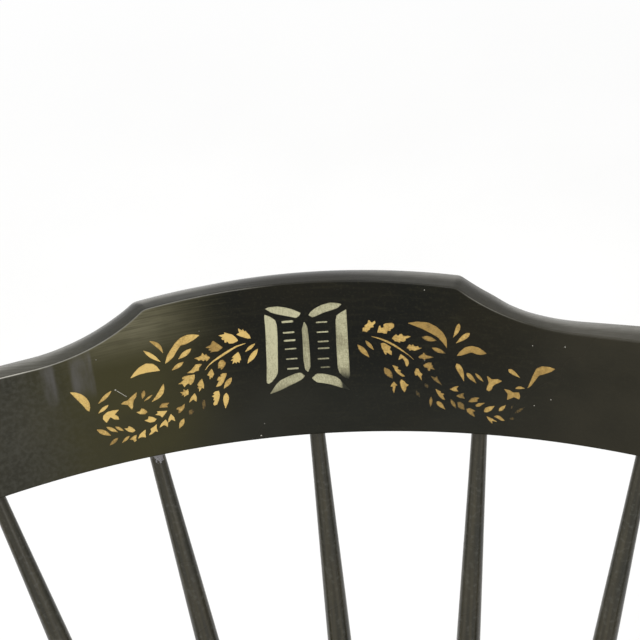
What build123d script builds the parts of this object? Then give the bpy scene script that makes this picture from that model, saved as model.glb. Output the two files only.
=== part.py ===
from build123d import *

import os
from math import atan2, cos, exp, hypot, radians, sin, sqrt

# A painted fan-back side chair: a saddled plank seat on four splayed turned legs with an H-stretcher,
# and a back of five plain spindles and two turned posts under one bent crest rail.
# Millimetres, +Z up. The chair faces -Y, so its left side, seen from the front, is -X.
# Everything is drawn about the centre of the arc that the spindle holes stand on, then moved so that
# the origin is under the middle of the whole chair, on the floor.

# Seat
SEAT_TOP = 446.0
SEAT_THICK = 42.0
SEAT_HALF_WIDTH = 220.0
SEAT_WIDEST_Y = 10.0
SEAT_FRONT_Y = -173.0
SEAT_FRONT_FULLNESS = 3.0
SEAT_REAR_R = 232.0
SEAT_REAR_ANGLE = 38.0
SADDLE_DEPTH = 16.0
SADDLE_HALF_WIDTH = 190.0
SADDLE_MIDDLE_Y = -20.0
POMMEL_HALF_WIDTH = 34.0
FRONT_ROLL_DEPTH = 8.0
FRONT_ROLL_LENGTH = 50.0
GUTTER_R = 184.0
GUTTER_WIDTH = 5.0
GUTTER_END_ANGLE = 14.0
EDGE_ROUND = 5.0
UNDERCUT_HEIGHT = 15.0
UNDERCUT_WIDTH = 24.0

# Back
HOLE_ARC_R = 205.0
SPINDLE_ANGLES = (-31.5, -15.5, 0.0, 15.5, 31.5)
POST_ANGLE = 51.0
BACK_LENGTH = 350.0
BACK_RAKE = 17.4
SPINDLE_TENON_R = 4.3
SPINDLE_FOOT_R = 5.5
POST_TENON_R = 5.0
POST_FOOT_R = 8.0
SEAT_TENON = 27.0
CREST_TENON = 22.0
GLUE_GAP = 1.5

# Crest rail, along its own height and around its own bend
CREST_RAKE = 14.0
CREST_BEND_R = 400.0
CREST_THICK = 20.0
CREST_HEIGHT = 91.7
CREST_SPINDLE_STEP = 88.0
CREST_POST_ARC = 256.0
POST_DEPTH = 8.5
CREST_END_ARC = 276.0
SHOULDER_X = 81.5
ARCH_RISE = 5.2
SWEEP_RUN = 60.0
SWEEP_DROP = 22.0
EAR_FLARE_R = 1080.0
BOTTOM_BOW_R = 4600.0
SHOULDER_ROUND = 8.0
EAR_TOP_ROUND = 22.0
EAR_BOTTOM_ROUND = 10.0
FANNED_STEP = 12.0
CREST_FRONT_ROUND = 1.2
CREST_BACK_ROUND = 6.0
PEG_R = 2.0
PEG_LENGTH = 14.0
PEG_SUNK = 0.4
PEG_HEIGHT = 12.0

# Legs and stretchers
LEGS = {"front": ((148.0, -112.0), (214.0, -163.0)), "rear": ((116.0, 100.0), (176.0, 214.0))}
LEG_TENON_R = 11.5
LEG_FOOT_R = 10.5
STRETCHER_HEIGHT = 178.0
SIDE_TENON_R = 7.0
CENTRE_TENON_R = 6.5
TENON_PAST_AXIS = 5.0
WEDGE_THICK = 3.6
WEDGE_TIP = 0.8
WEDGE_DEPTH = 30.0
TENON_SPARE = 20.0

# Glides
GLIDE_R = 9.5
GLIDE_FLAT_R = 6.5
GLIDE_HEIGHT = 4.5
NAIL_R = 1.4
NAIL_LENGTH = 16.0

STANDING = (Align.CENTER, Align.CENTER, Align.MIN)


class Turning:
    """A turned part's outline, drawn from its first end along +Z at a radius from the axis."""

    def __init__(self, start, radius):
        self.start = self.end = start
        self.first_radius = self.radius = radius
        self.edges = []

    def _reach(self, end, radius):
        points = (self.radius, 0, self.end), (radius, 0, end)
        self.end, self.radius = end, radius
        return points

    def straight(self, end, radius=None):
        """A cylinder, or a cone down or up to another radius."""
        self.edges.append(Line(*self._reach(end, self.radius if radius is None else radius)))
        return self

    def bead(self, length, rise):
        """A ring of round section that ends at the radius where it began; a cove has a negative rise."""
        middle = (self.radius + rise, 0, self.end + length / 2)
        first, last = self._reach(self.end + length, self.radius)
        self.edges.append(ThreePointArc(first, middle, last))
        return self

    def curve(self, *knots):
        """One smooth swelling line through (distance, radius) knots."""
        points = [(self.radius, 0, self.end)] + [(radius, 0, end) for end, radius in knots]
        self._reach(*knots[-1])
        self.edges.append(Spline(*points))
        return self

    def solid(self, origin, towards, gap=0.0):
        """The part with its distance 0 at origin and its axis through towards, each end gap longer."""
        low, high = self.start - gap, self.end + gap
        outline = [Line((0, 0, low), (self.first_radius, 0, low))]
        if gap:
            outline.append(Line((self.first_radius, 0, low), (self.first_radius, 0, self.start)))
        outline += self.edges
        if gap:
            outline.append(Line((self.radius, 0, self.end), (self.radius, 0, high)))
        outline += [Line((self.radius, 0, high), (0, 0, high)), Line((0, 0, high), (0, 0, low))]
        return axis_plane(origin, towards).location * revolve(make_face(outline), Axis.Z)


def axis_plane(origin, towards):
    """A plane at origin that faces towards, with its own X as near the chair's +X as that allows."""
    direction = Vector(towards) - Vector(origin)
    x_dir = (1, 0, 0) if abs(direction.X) < 0.9 * direction.length else (0, 1, 0)
    return Plane(origin=origin, x_dir=x_dir, z_dir=direction)


def smooth_step(value, low, high):
    """0 up to low, 1 from high on, and an even S between them; low may be the larger."""
    share = min(max((value - low) / (high - low), 0.0), 1.0)
    return share * share * (3 - 2 * share)


# ---------------------------------------------------------------- seat


def seat_surface_height(x, y):
    """The saddled top: a flat deck behind, two hollows open to the front and a pommel between them."""
    back_reach = max(y - SADDLE_MIDDLE_Y, 0.0) / (GUTTER_R - 8 - SADDLE_MIDDLE_Y)
    reach = min(hypot(x / SADDLE_HALF_WIDTH, back_reach), 1.0)
    hollow = SADDLE_DEPTH * (1 - reach**2) ** 1.5
    frontness = smooth_step(y, SADDLE_MIDDLE_Y + 40, SEAT_FRONT_Y)
    pommel = 0.85 * frontness * exp(-((x / POMMEL_HALF_WIDTH) ** 2))
    roll = max((SEAT_FRONT_Y + FRONT_ROLL_LENGTH - y) / FRONT_ROLL_LENGTH, 0.0)
    return SEAT_TOP - hollow * (1 - 0.3 * frontness) * (1 - pommel) - FRONT_ROLL_DEPTH * roll**2


def make_space_above_seat():
    """All that lies above the saddled top, which trims the plank and the leg tenons alike."""
    margin, steps = 24.0, 36
    x_low, x_span = -SEAT_HALF_WIDTH - margin, 2 * (SEAT_HALF_WIDTH + margin)
    y_low, y_span = SEAT_FRONT_Y - margin, SEAT_REAR_R - SEAT_FRONT_Y + 2 * margin
    rows = []
    for row in range(steps + 1):
        x = x_low + x_span * row / steps
        ys = [y_low + y_span * column / steps for column in range(steps + 1)]
        rows.append([Vector(x, y, seat_surface_height(x, y)) for y in ys])
    top = Face.make_surface_from_array_of_points(rows, tol=0.03, min_deg=3, max_deg=3)
    return Solid.extrude(top, Vector(0, 0, 2 * SEAT_THICK))


def make_seat_outline():
    """The plank in plan: a round back, sides that swell forward and a bowed front with soft corners."""
    angle = radians(90 - SEAT_REAR_ANGLE)
    rear = Vector(SEAT_REAR_R * cos(angle), SEAT_REAR_R * sin(angle))
    tangent = (sin(angle), -cos(angle))
    back = ThreePointArc((-rear.X, rear.Y), (0, SEAT_REAR_R), rear)
    side = Spline(rear, (SEAT_HALF_WIDTH, SEAT_WIDEST_Y), tangents=[tangent, (0, -1)])
    power, steps, reach = 2 / SEAT_FRONT_FULLNESS, 8, SEAT_FRONT_Y - SEAT_WIDEST_Y
    turns = [radians(90 * step / steps) for step in range(steps + 1)]
    front = [(SEAT_HALF_WIDTH * cos(t) ** power, SEAT_WIDEST_Y + reach * sin(t) ** power) for t in turns]
    front = Spline(*front, tangents=[(0, -1), (-1, 0)])
    return make_face([back, side, front, mirror(side, about=Plane.YZ), mirror(front, about=Plane.YZ)])


def make_seat(space_above):
    """The plank, undercut around its lower edge, saddled, gutter cut and its upper edge rounded."""
    underside = SEAT_TOP - SEAT_THICK
    blank = extrude(Pos(0, 0, underside) * make_seat_outline(), SEAT_THICK + 2)
    lower_face = blank.faces().sort_by(Axis.Z)[0]
    undercut = chamfer(lower_face.edges(), UNDERCUT_WIDTH, UNDERCUT_HEIGHT, reference=lower_face)
    plank = undercut - space_above
    rim = [edge for edge in plank.edges() if edge.center().Z > underside + UNDERCUT_HEIGHT + 5]
    plank = fillet([edge for edge in rim if edge.length > 2 * EDGE_ROUND], EDGE_ROUND)
    section = Pos(GUTTER_R, 0, SEAT_TOP + 0.5) * (Rot(90, 0, 0) * Circle(GUTTER_WIDTH / 2))
    arc = 180 - 2 * GUTTER_END_ANGLE
    return plank - Rot(0, 0, GUTTER_END_ANGLE) * revolve(section, Axis.Z, arc)


# ---------------------------------------------------------------- back


def crest_place():
    """Where the crest stands: the front of its lower edge, leaning back by its own rake."""
    rise, lean = BACK_LENGTH * cos(radians(BACK_RAKE)), BACK_LENGTH * sin(radians(BACK_RAKE))
    middle_y, middle_z = HOLE_ARC_R + lean, SEAT_TOP + rise
    rake, half = radians(CREST_RAKE), CREST_THICK / 2
    return Location((0, middle_y - half * cos(rake), middle_z + half * sin(rake)), (-CREST_RAKE, 0, 0))


def crest_bottom(x):
    """The lower edge of the front face, a very flat arch, in the crest's own height."""
    return sqrt(BOTTOM_BOW_R**2 - x**2) - BOTTOM_BOW_R


def crest_point(arc, depth, height=None):
    """A point of the bent board: arc along its face, depth into its thickness."""
    angle, radius = arc / CREST_BEND_R, CREST_BEND_R + depth
    z = crest_bottom(CREST_BEND_R * sin(angle)) if height is None else height
    return Vector(radius * sin(angle), radius * cos(angle) - CREST_BEND_R, z)


def make_crest_front():
    """The outline of the crest's front face: raised panel, swept shoulders, flared and rounded ears."""
    half = CREST_BEND_R * sin(CREST_END_ARC / CREST_BEND_R)
    shoulder_z = CREST_HEIGHT - ARCH_RISE
    valley = (SHOULDER_X + SWEEP_RUN, shoulder_z - SWEEP_DROP)
    sweep_r = (SWEEP_RUN**2 + SWEEP_DROP**2) / (2 * SWEEP_DROP)
    bend = atan2(SWEEP_RUN, sweep_r - SWEEP_DROP) / 2
    middle = (valley[0] - sweep_r * sin(bend), valley[1] + sweep_r * (1 - cos(bend)))
    run = half - valley[0]

    def flare(x):
        return valley[1] + EAR_FLARE_R - sqrt(EAR_FLARE_R**2 - (x - valley[0]) ** 2)

    outline = [
        ThreePointArc((-SHOULDER_X, shoulder_z), (0, CREST_HEIGHT), (SHOULDER_X, shoulder_z)),
        ThreePointArc((-half, crest_bottom(half)), (0, 0), (half, crest_bottom(half))),
    ]
    for side in (-1, 1):
        outline += [
            ThreePointArc(*[(side * x, z) for x, z in ((SHOULDER_X, shoulder_z), middle, valley)]),
            ThreePointArc(*[(side * x, flare(x)) for x in (valley[0], valley[0] + run / 2, half)]),
            Line((side * half, flare(half)), (side * half, crest_bottom(half))),
        ]
    face = make_face(outline)
    corners = [
        (SHOULDER_X, shoulder_z, SHOULDER_ROUND),
        (half, flare(half), EAR_TOP_ROUND),
        (half, crest_bottom(half), EAR_BOTTOM_ROUND),
    ]
    for x, z, radius in corners:
        found = [v for v in face.vertices() if hypot(abs(v.X) - x, v.Y - z) < 0.1]
        face = fillet(found, radius)
    return face


def fanned_outline(front, y):
    """The front outline carried along lines from the bend's own axis, to the upright plane at y."""
    reach = y + CREST_BEND_R

    def carried(point):
        stretch = reach / sqrt(CREST_BEND_R**2 - point.X**2)
        return Vector(point.X * stretch, y, point.Y)

    def carried_direction(point, direction):
        stretch = reach * CREST_BEND_R**2 / (CREST_BEND_R**2 - point.X**2) ** 1.5
        return Vector(direction.X * stretch, 0, direction.Y)

    edges = []
    for edge in front.faces()[0].outer_wire().edges():
        if edge.geom_type == GeomType.LINE:
            edges.append(Edge.make_line(carried(edge @ 0), carried(edge @ 1)))
            continue
        count = max(4, min(12, round(edge.length / FANNED_STEP)))
        points = [carried(edge @ (k / count)) for k in range(count + 1)]
        tangents = [carried_direction(edge @ end, edge % end) for end in (0.0, 1.0)]
        edges.append(Edge.make_spline(points, tangents=tangents))
    return Wire(edges)


def edges_on_bend(board, radius):
    """The board's edges that lie on its front or its back face, by that face's own bend radius."""
    return [e for e in board.edges() if abs(hypot(e.center().X, e.center().Y + CREST_BEND_R) - radius) < 0.1]


def make_crest_rail():
    """The board: a slab bent after it was sawn, so that its edges stand square to the bend."""
    back_r = CREST_BEND_R + CREST_THICK
    rings = Circle(back_r) - Circle(CREST_BEND_R)
    plan = rings & Pos(0, 2 * CREST_BEND_R) * Rectangle(3 * CREST_BEND_R, 3 * CREST_BEND_R)
    slab = extrude(Pos(0, -CREST_BEND_R, -CREST_HEIGHT / 2) * plan, 2 * CREST_HEIGHT)
    front = make_crest_front()
    planes = (-CREST_BEND_R / 2, 3 * CREST_THICK)
    board = slab & Solid.make_loft([fanned_outline(front, y) for y in planes], ruled=True)
    board = fillet(edges_on_bend(board, back_r), CREST_BACK_ROUND)
    return fillet(edges_on_bend(board, CREST_BEND_R), CREST_FRONT_ROUND)


def make_spindle(length):
    """A plain spindle with a low belly, thinning to the crest."""
    turning = Turning(-SEAT_TENON, SPINDLE_FOOT_R).straight(5)
    turning.curve((0.17 * length, 6.9), (0.37 * length, 7.6), (0.62 * length, 6.7), (0.84 * length, 5.2),
                  (length - 6, SPINDLE_TENON_R))
    return turning.straight(length + CREST_TENON)


def make_post(length):
    """A stouter turned post: a small urn between rings, a vase, rings and a long slender neck."""
    turning = Turning(-SEAT_TENON, POST_FOOT_R).straight(5)
    turning.curve((14, 9.4), (24, 11.4), (34, 10.6), (42, 8.2)).bead(6, 3).bead(5, -1).bead(6, 3)
    turning.curve((72, 10.2), (92, 13.4), (116, 12.0), (140, 8.6)).bead(5, 2.6).bead(7, 3.6).bead(5, 2.6)
    turning.curve((180, 8.8), (0.62 * length, 10.8), (0.8 * length, 9.4), (length - 6, POST_TENON_R))
    return turning.straight(length + CREST_TENON)


def back_member_ends(hole_angle, crest_arc, crest_depth):
    """The axis of a spindle or post, from its hole on the deck to where it enters the crest from below."""
    angle = radians(hole_angle)
    hole = Vector(HOLE_ARC_R * sin(angle), HOLE_ARC_R * cos(angle), SEAT_TOP)
    top = crest_place() * Pos(crest_point(crest_arc, crest_depth))
    return hole, top.position


def make_back():
    """The five spindles and two posts, as solids and as the slightly deeper cutters of their mortises."""
    places = [("post_left", make_post, -POST_ANGLE, -CREST_POST_ARC, POST_DEPTH)]
    places += [("post_right", make_post, POST_ANGLE, CREST_POST_ARC, POST_DEPTH)]
    for number, angle in enumerate(SPINDLE_ANGLES, 1):
        arc = (number - 3) * CREST_SPINDLE_STEP
        places.append((f"spindle_{number}", make_spindle, angle, arc, CREST_THICK / 2))
    members, cutters = {}, []
    for name, make_turning, angle, arc, depth in places:
        hole, top = back_member_ends(angle, arc, depth)
        turning = make_turning((top - hole).length)
        members[name] = turning.solid(hole, top)
        cutters.append(turning.solid(hole, top, gap=GLUE_GAP))
    return members, cutters


def make_crest_peg(side):
    """A peg driven from the back of the crest through a post's tenon, its head just below the surface."""
    arc = side * CREST_POST_ARC
    height = crest_point(arc, 0).Z + PEG_HEIGHT
    head = crest_place() * Pos(crest_point(arc, CREST_THICK + 1, height))
    tip = crest_place() * Pos(crest_point(arc, CREST_THICK - PEG_LENGTH, height))
    plane = axis_plane(head.position, tip.position)
    hole = plane.location * Cylinder(PEG_R, PEG_LENGTH + 1, align=STANDING)
    peg = Cylinder(PEG_R, PEG_LENGTH - PEG_SUNK, align=STANDING)
    return plane.location * Pos(0, 0, 1 + PEG_SUNK) * peg, hole


# ---------------------------------------------------------------- legs and stretchers


def leg_ends(end, side):
    """The axis of a leg, from the middle of its foot on the floor to its hole in the seat's underside."""
    (top_x, top_y), (foot_x, foot_y) = LEGS[end]
    return Vector(side * foot_x, foot_y, 0), Vector(side * top_x, top_y, SEAT_TOP - SEAT_THICK)


def point_at_height(ends, height):
    """The point of an axis at a height."""
    foot, top = ends
    return foot + (top - foot) * ((height - foot.Z) / (top.Z - foot.Z))


def make_leg_turning(ends):
    """From the foot up: a long belly that takes the stretcher, rings, a vase, rings and the tenon."""
    length = (ends[1] - ends[0]).length
    belly = length * STRETCHER_HEIGHT / ends[1].Z
    turning = Turning(-15, LEG_FOOT_R).straight(8)
    turning.curve((0.35 * belly, 12.4), (0.7 * belly, 15.8), (belly, 17.6), (belly + 30, 16.2),
                  (belly + 52, 13.0))
    turning.bead(5, 2.2).bead(8, 4.2).bead(5, 2.2).straight(belly + 76, 12.0)
    turning.curve((belly + 92, 13.2), (belly + 118, 18.4), (belly + 146, 15.2), (length - 50, 11.6))
    turning.bead(6, 3.0).bead(5, -1.0).bead(6, 3.0).curve((length - 20, 12.4), (length, 13.6))
    turning.straight(length + 1, LEG_TENON_R)
    return turning.straight(length + SEAT_THICK + TENON_SPARE)


def make_wedge_space(ends):
    """The tapered slot across a leg's tenon, as wide as the tenon and widest at the top."""
    length = (ends[1] - ends[0]).length
    low, high = SEAT_THICK - WEDGE_DEPTH, SEAT_THICK + TENON_SPARE
    tip, top = WEDGE_TIP / 2, (WEDGE_TIP + (WEDGE_THICK - WEDGE_TIP) * (high - low) / WEDGE_DEPTH) / 2
    outline = Polygon((-tip, low), (tip, low), (top, high), (-top, high), align=None)
    slot = extrude(Plane.XZ * outline, 2 * LEG_TENON_R, both=True)
    tenon = Pos(0, 0, low) * Cylinder(LEG_TENON_R, high - low, align=STANDING)
    return axis_plane(*ends).location * Pos(0, 0, length) * (slot & tenon)


def make_side_stretcher(length):
    """A stretcher with a long swelling between two rings, drawn from end to end of its tenons."""
    middle = length / 2
    turning = Turning(0, SIDE_TENON_R).straight(34)
    turning.curve((60, 7.8), (middle - 60, 10.6), (middle - 44, 10.0)).bead(6, 2.8).bead(6, 2.8)
    turning.curve((middle - 18, 12.4), (middle, 13.4), (middle + 18, 12.4), (middle + 32, 10.0))
    turning.bead(6, 2.8).bead(6, 2.8)
    turning.curve((middle + 60, 10.6), (length - 60, 7.8), (length - 34, SIDE_TENON_R))
    return turning.straight(length)


def make_centre_stretcher(length):
    """The stretcher between the other two: a bobbin each side of three rings."""
    middle = length / 2
    turning = Turning(0, CENTRE_TENON_R).straight(32)
    turning.curve((60, 8.4), (middle - 70, 12.2), (middle - 40, 9.6), (middle - 17, 8.0))
    turning.bead(8, 3.0).bead(18, 5.4).bead(8, 3.0)
    turning.curve((middle + 40, 9.6), (middle + 70, 12.2), (length - 60, 8.4), (length - 32, CENTRE_TENON_R))
    return turning.straight(length)


def make_stretchers():
    """The H-stretcher and the cutters of its mortises, each name with its solid and its cutter."""
    made, middles = {}, {}
    for side_name, side in (("left", -1), ("right", 1)):
        front = point_at_height(leg_ends("front", side), STRETCHER_HEIGHT)
        rear = point_at_height(leg_ends("rear", side), STRETCHER_HEIGHT)
        along = (rear - front).normalized()
        first, last = front - along * TENON_PAST_AXIS, rear + along * TENON_PAST_AXIS
        turning = make_side_stretcher((last - first).length)
        solid, cutter = turning.solid(first, last), turning.solid(first, last, GLUE_GAP)
        made[f"side_stretcher_{side_name}"] = (solid, cutter)
        middles[side_name] = (first + last) * 0.5
    past = Vector(TENON_PAST_AXIS, 0, 0)
    first, last = middles["left"] - past, middles["right"] + past
    turning = make_centre_stretcher((last - first).length)
    made["centre_stretcher"] = (turning.solid(first, last), turning.solid(first, last, GLUE_GAP))
    return made


def make_glide(foot):
    """A pressed steel glide: a domed cap that rests on its flat, and the nail that holds it."""
    turning = Turning(0, GLIDE_FLAT_R).curve((1.6, GLIDE_R - 0.8), (GLIDE_HEIGHT - 0.6, GLIDE_R))
    turning.straight(GLIDE_HEIGHT)
    nail = Pos(0, 0, GLIDE_HEIGHT) * Cylinder(NAIL_R, NAIL_LENGTH, align=STANDING)
    place = Pos(foot.X, foot.Y, 0)
    return place * (turning.solid((0, 0, 0), (0, 0, 1)) + nail), place * nail


# ---------------------------------------------------------------- assembly


def make_chair():
    """Every separate piece of the chair, by name."""
    space_above_seat = make_space_above_seat()
    seat, crest = make_seat(space_above_seat), crest_place() * make_crest_rail()
    below_legs = Pos(0, 0, GLIDE_HEIGHT) * Rot(180, 0, 0) * Cylinder(SEAT_TOP, SEAT_THICK, align=STANDING)
    chair, back_cutters = make_back()
    seat, crest = seat - back_cutters, crest - back_cutters

    for side_name, side in (("left", -1), ("right", 1)):
        peg, hole = make_crest_peg(side)
        chair[f"crest_peg_{side_name}"] = peg
        chair[f"post_{side_name}"] -= hole
        crest -= hole

    stretchers = make_stretchers()
    for end in LEGS:
        for side_name, side in (("left", -1), ("right", 1)):
            name, ends = f"{end}_{side_name}", leg_ends(end, side)
            whole_leg = make_leg_turning(ends).solid(*ends)
            wedge = make_wedge_space(ends)
            glide, nail = make_glide(point_at_height(ends, GLIDE_HEIGHT))
            seat -= whole_leg
            trimmed_leg = whole_leg - space_above_seat - below_legs
            stretcher_cutter = stretchers[f"side_stretcher_{side_name}"][1]
            chair[f"leg_{name}"] = trimmed_leg - wedge - nail - stretcher_cutter
            chair[f"leg_wedge_{name}"] = wedge - space_above_seat
            chair[f"glide_{name}"] = glide

    centre, centre_cutter = stretchers["centre_stretcher"]
    chair["centre_stretcher"] = centre
    for side_name in ("left", "right"):
        side_stretcher = stretchers[f"side_stretcher_{side_name}"][0]
        chair[f"side_stretcher_{side_name}"] = side_stretcher - centre_cutter
    return {"seat": seat, "crest_rail": crest, **chair}


def move_to_origin(pieces):
    """The move that centres the whole chair over the origin and stands it on the floor."""
    boxes = [piece.bounding_box() for piece in pieces]
    xs = [corner.X for box in boxes for corner in (box.min, box.max)]
    ys = [corner.Y for box in boxes for corner in (box.min, box.max)]
    return Pos(-(min(xs) + max(xs)) / 2, -(min(ys) + max(ys)) / 2, 0)


chair = make_chair()
to_origin = move_to_origin(chair.values())
print("moved by", to_origin.position)

os.makedirs("parts", exist_ok=True)
for name, piece in chair.items():
    export_step(to_origin * piece, f"parts/{name}.step")
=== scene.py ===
import math

import bpy
import numpy as np
from mathutils import Matrix, Vector
from mathutils.bvhtree import BVHTree
from mathutils.geometry import delaunay_2d_cdt


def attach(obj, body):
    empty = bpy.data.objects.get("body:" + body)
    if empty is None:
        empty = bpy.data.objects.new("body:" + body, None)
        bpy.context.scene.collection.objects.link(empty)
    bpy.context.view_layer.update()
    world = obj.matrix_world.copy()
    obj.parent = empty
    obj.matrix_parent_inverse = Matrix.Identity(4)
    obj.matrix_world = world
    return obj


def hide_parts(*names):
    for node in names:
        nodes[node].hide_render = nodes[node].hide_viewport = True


# The looks of a black-painted, stencilled side chair: worn black lacquer on every wooden part,
# bronze-powder leaf sprays and a silver panel on the crest rail, gold rings on the turnings.
# Metres, in the row frame. Stencil outlines are in millimetres on the face of the crest rail.

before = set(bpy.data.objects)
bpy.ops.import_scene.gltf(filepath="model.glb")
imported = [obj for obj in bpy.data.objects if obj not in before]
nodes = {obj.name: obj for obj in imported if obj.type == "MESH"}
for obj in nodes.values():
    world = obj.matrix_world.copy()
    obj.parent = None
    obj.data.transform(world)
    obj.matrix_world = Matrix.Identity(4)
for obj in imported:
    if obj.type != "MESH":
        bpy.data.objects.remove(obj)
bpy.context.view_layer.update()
MM = 0.001

# ---- where the chair's parts are

ORIGIN_Y = -83.6315  # from the middle of the hole arc to the row frame
CREST_FOOT = Vector((0, 299.961 + ORIGIN_Y, 782.398)) * MM  # the crest's front bottom edge, in its middle
CREST_RAKE = math.radians(14)
CREST_BEND_R = 400.0
CREST_ACROSS = Vector((1, 0, 0))
CREST_BACK = Vector((0, math.cos(CREST_RAKE), -math.sin(CREST_RAKE)))
CREST_UP = Vector((0, math.sin(CREST_RAKE), math.cos(CREST_RAKE)))
BOTTOM_BOW_R = 4600.0

HOLE_ARC_R = 205.0
SEAT_TOP = 446.0
SPINDLE_ANGLES = {1: -31.5, 2: -15.5, 3: 0.0, 4: 15.5, 5: 31.5}
MIDDLE_SPINDLE, SPINDLE_STEP, SPINDLE_DEPTH = 3, 88.0, 10.0
POST_ANGLE, POST_ARC, POST_DEPTH = 51.0, 256.0, 8.5
LEG_TOP_Z, STRETCHER_Z, TENON_PAST_AXIS = 404.0, 178.0, 5.0
LEG_PLACES = {"front": ((148, -112), (214, -163)), "rear": ((116, 100), (176, 214))}


def crest_point(arc, up, depth=0.0):
    """A point of the bent crest: arc along its face, up its height, depth into its thickness (mm)."""
    angle, radius = arc / CREST_BEND_R, CREST_BEND_R + depth
    across, back = radius * math.sin(angle), radius * math.cos(angle) - CREST_BEND_R
    return CREST_FOOT + (CREST_ACROSS * across + CREST_BACK * back + CREST_UP * up) * MM


def crest_bottom(x):
    """The lower edge of the crest's front face, x to the side of its middle (mm)."""
    return math.sqrt(BOTTOM_BOW_R**2 - x**2) - BOTTOM_BOW_R


def crest_inward(arc):
    """The direction straight into the board at that place along the face."""
    angle = arc / CREST_BEND_R
    return CREST_ACROSS * math.sin(angle) + CREST_BACK * math.cos(angle)


def back_axis(hole_angle, arc, depth):
    """The axis of a spindle or post, from the seat's deck to the crest's lower edge."""
    angle = math.radians(hole_angle)
    hole = Vector((HOLE_ARC_R * math.sin(angle), HOLE_ARC_R * math.cos(angle) + ORIGIN_Y, SEAT_TOP)) * MM
    return hole, crest_point(arc, crest_bottom(CREST_BEND_R * math.sin(arc / CREST_BEND_R)), depth)


def leg_axis(end, side):
    """The axis of a leg, from the floor to the underside of the seat."""
    (top_x, top_y), (foot_x, foot_y) = LEG_PLACES[end]
    foot = Vector((side * foot_x, foot_y + ORIGIN_Y, 0)) * MM
    return foot, Vector((side * top_x, top_y + ORIGIN_Y, LEG_TOP_Z)) * MM


def side_stretcher_axis(side):
    """The axis of a side stretcher, from end to end of its tenons."""
    ends = []
    for end in ("front", "rear"):
        foot, top = leg_axis(end, side)
        ends.append(foot.lerp(top, STRETCHER_Z / LEG_TOP_Z))
    past = (ends[1] - ends[0]).normalized() * TENON_PAST_AXIS * MM
    return ends[0] - past, ends[1] + past


def turned_axes():
    """Each turned part's name and axis."""
    axes = {}
    for number, angle in SPINDLE_ANGLES.items():
        axes[f"spindle_{number}"] = back_axis(angle, (number - MIDDLE_SPINDLE) * SPINDLE_STEP, SPINDLE_DEPTH)
    middles = []
    for side_name, side in (("left", -1), ("right", 1)):
        axes[f"post_{side_name}"] = back_axis(side * POST_ANGLE, side * POST_ARC, POST_DEPTH)
        for end in LEG_PLACES:
            axes[f"leg_{end}_{side_name}"] = leg_axis(end, side)
        first, last = side_stretcher_axis(side)
        axes[f"side_stretcher_{side_name}"] = (first, last)
        middles.append((first + last) / 2)
    past = Vector((TENON_PAST_AXIS * MM, 0, 0))
    axes["centre_stretcher"] = (middles[0] - past, middles[1] + past)
    return axes


# ---- materials

MIX_FACTOR, MIX_FIRST, MIX_SECOND, MIX_RESULT = 0, 6, 7, 2  # a Mix node's sockets where it mixes colours
# A chip's ragged rim: the noise that carries it out and how far, where it starts and is full, in radii.
CHIP_NOISE, CHIP_RAGGED, CHIP_RIM, CHIP_FULL = 1100, 2.0, 1.85, 1.65
SPECK_FULL, CELL_FULL = 0.4, 0.9  # where a speck is full, of its size, and how softly cells hold one


def srgb(red, green, blue):
    """A colour given as it looks on a screen, 0 to 255, as the shader's linear colour."""
    linear = []
    for value in (red, green, blue):
        share = value / 255
        linear.append(share / 12.92 if share <= 0.04045 else ((share + 0.055) / 1.055) ** 2.4)
    return (*linear, 1.0)


class Nodes:
    """A node tree, with short ways to add nodes to it and to take the output that is used."""

    def __init__(self, tree):
        self.tree = tree

    def fill(self, node, inputs):
        """Sets each socket of the node to its value, or links it to that output of another node."""
        for key, value in inputs.items():
            if isinstance(value, bpy.types.NodeSocket):
                self.tree.links.new(value, node.inputs[key])
            else:
                node.inputs[key].default_value = value

    def add(self, kind, output, inputs=None, **settings):
        """A new node with those sockets filled and those of its own settings made, and one of its outputs."""
        node = self.tree.nodes.new("ShaderNode" + kind)
        for key, value in settings.items():
            setattr(node, key, value)
        self.fill(node, inputs or {})
        return node.outputs[output]

    def math(self, operation, first, second):
        return self.add("Math", "Value", {0: first, 1: second}, operation=operation)

    def range(self, value, low, high, least=0.0, most=1.0):
        """From least where the value is at low to most where it is at high, which may be the smaller one."""
        if low > high:
            low, high, least, most = high, low, most, least
        ends = {"From Min": low, "From Max": high, "To Min": least, "To Max": most}
        return self.add("MapRange", "Result", {"Value": value, **ends}, interpolation_type="SMOOTHSTEP")

    def in_view(self, otherwise):
        """1 where the camera, a mirroring surface or glass looks, and otherwise that value."""
        rays = self.add("LightPath", 0).node.outputs
        for ray in ("Is Camera Ray", "Is Glossy Ray", "Is Transmission Ray"):
            otherwise = self.math("MAXIMUM", rays[ray], otherwise)
        return otherwise


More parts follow.
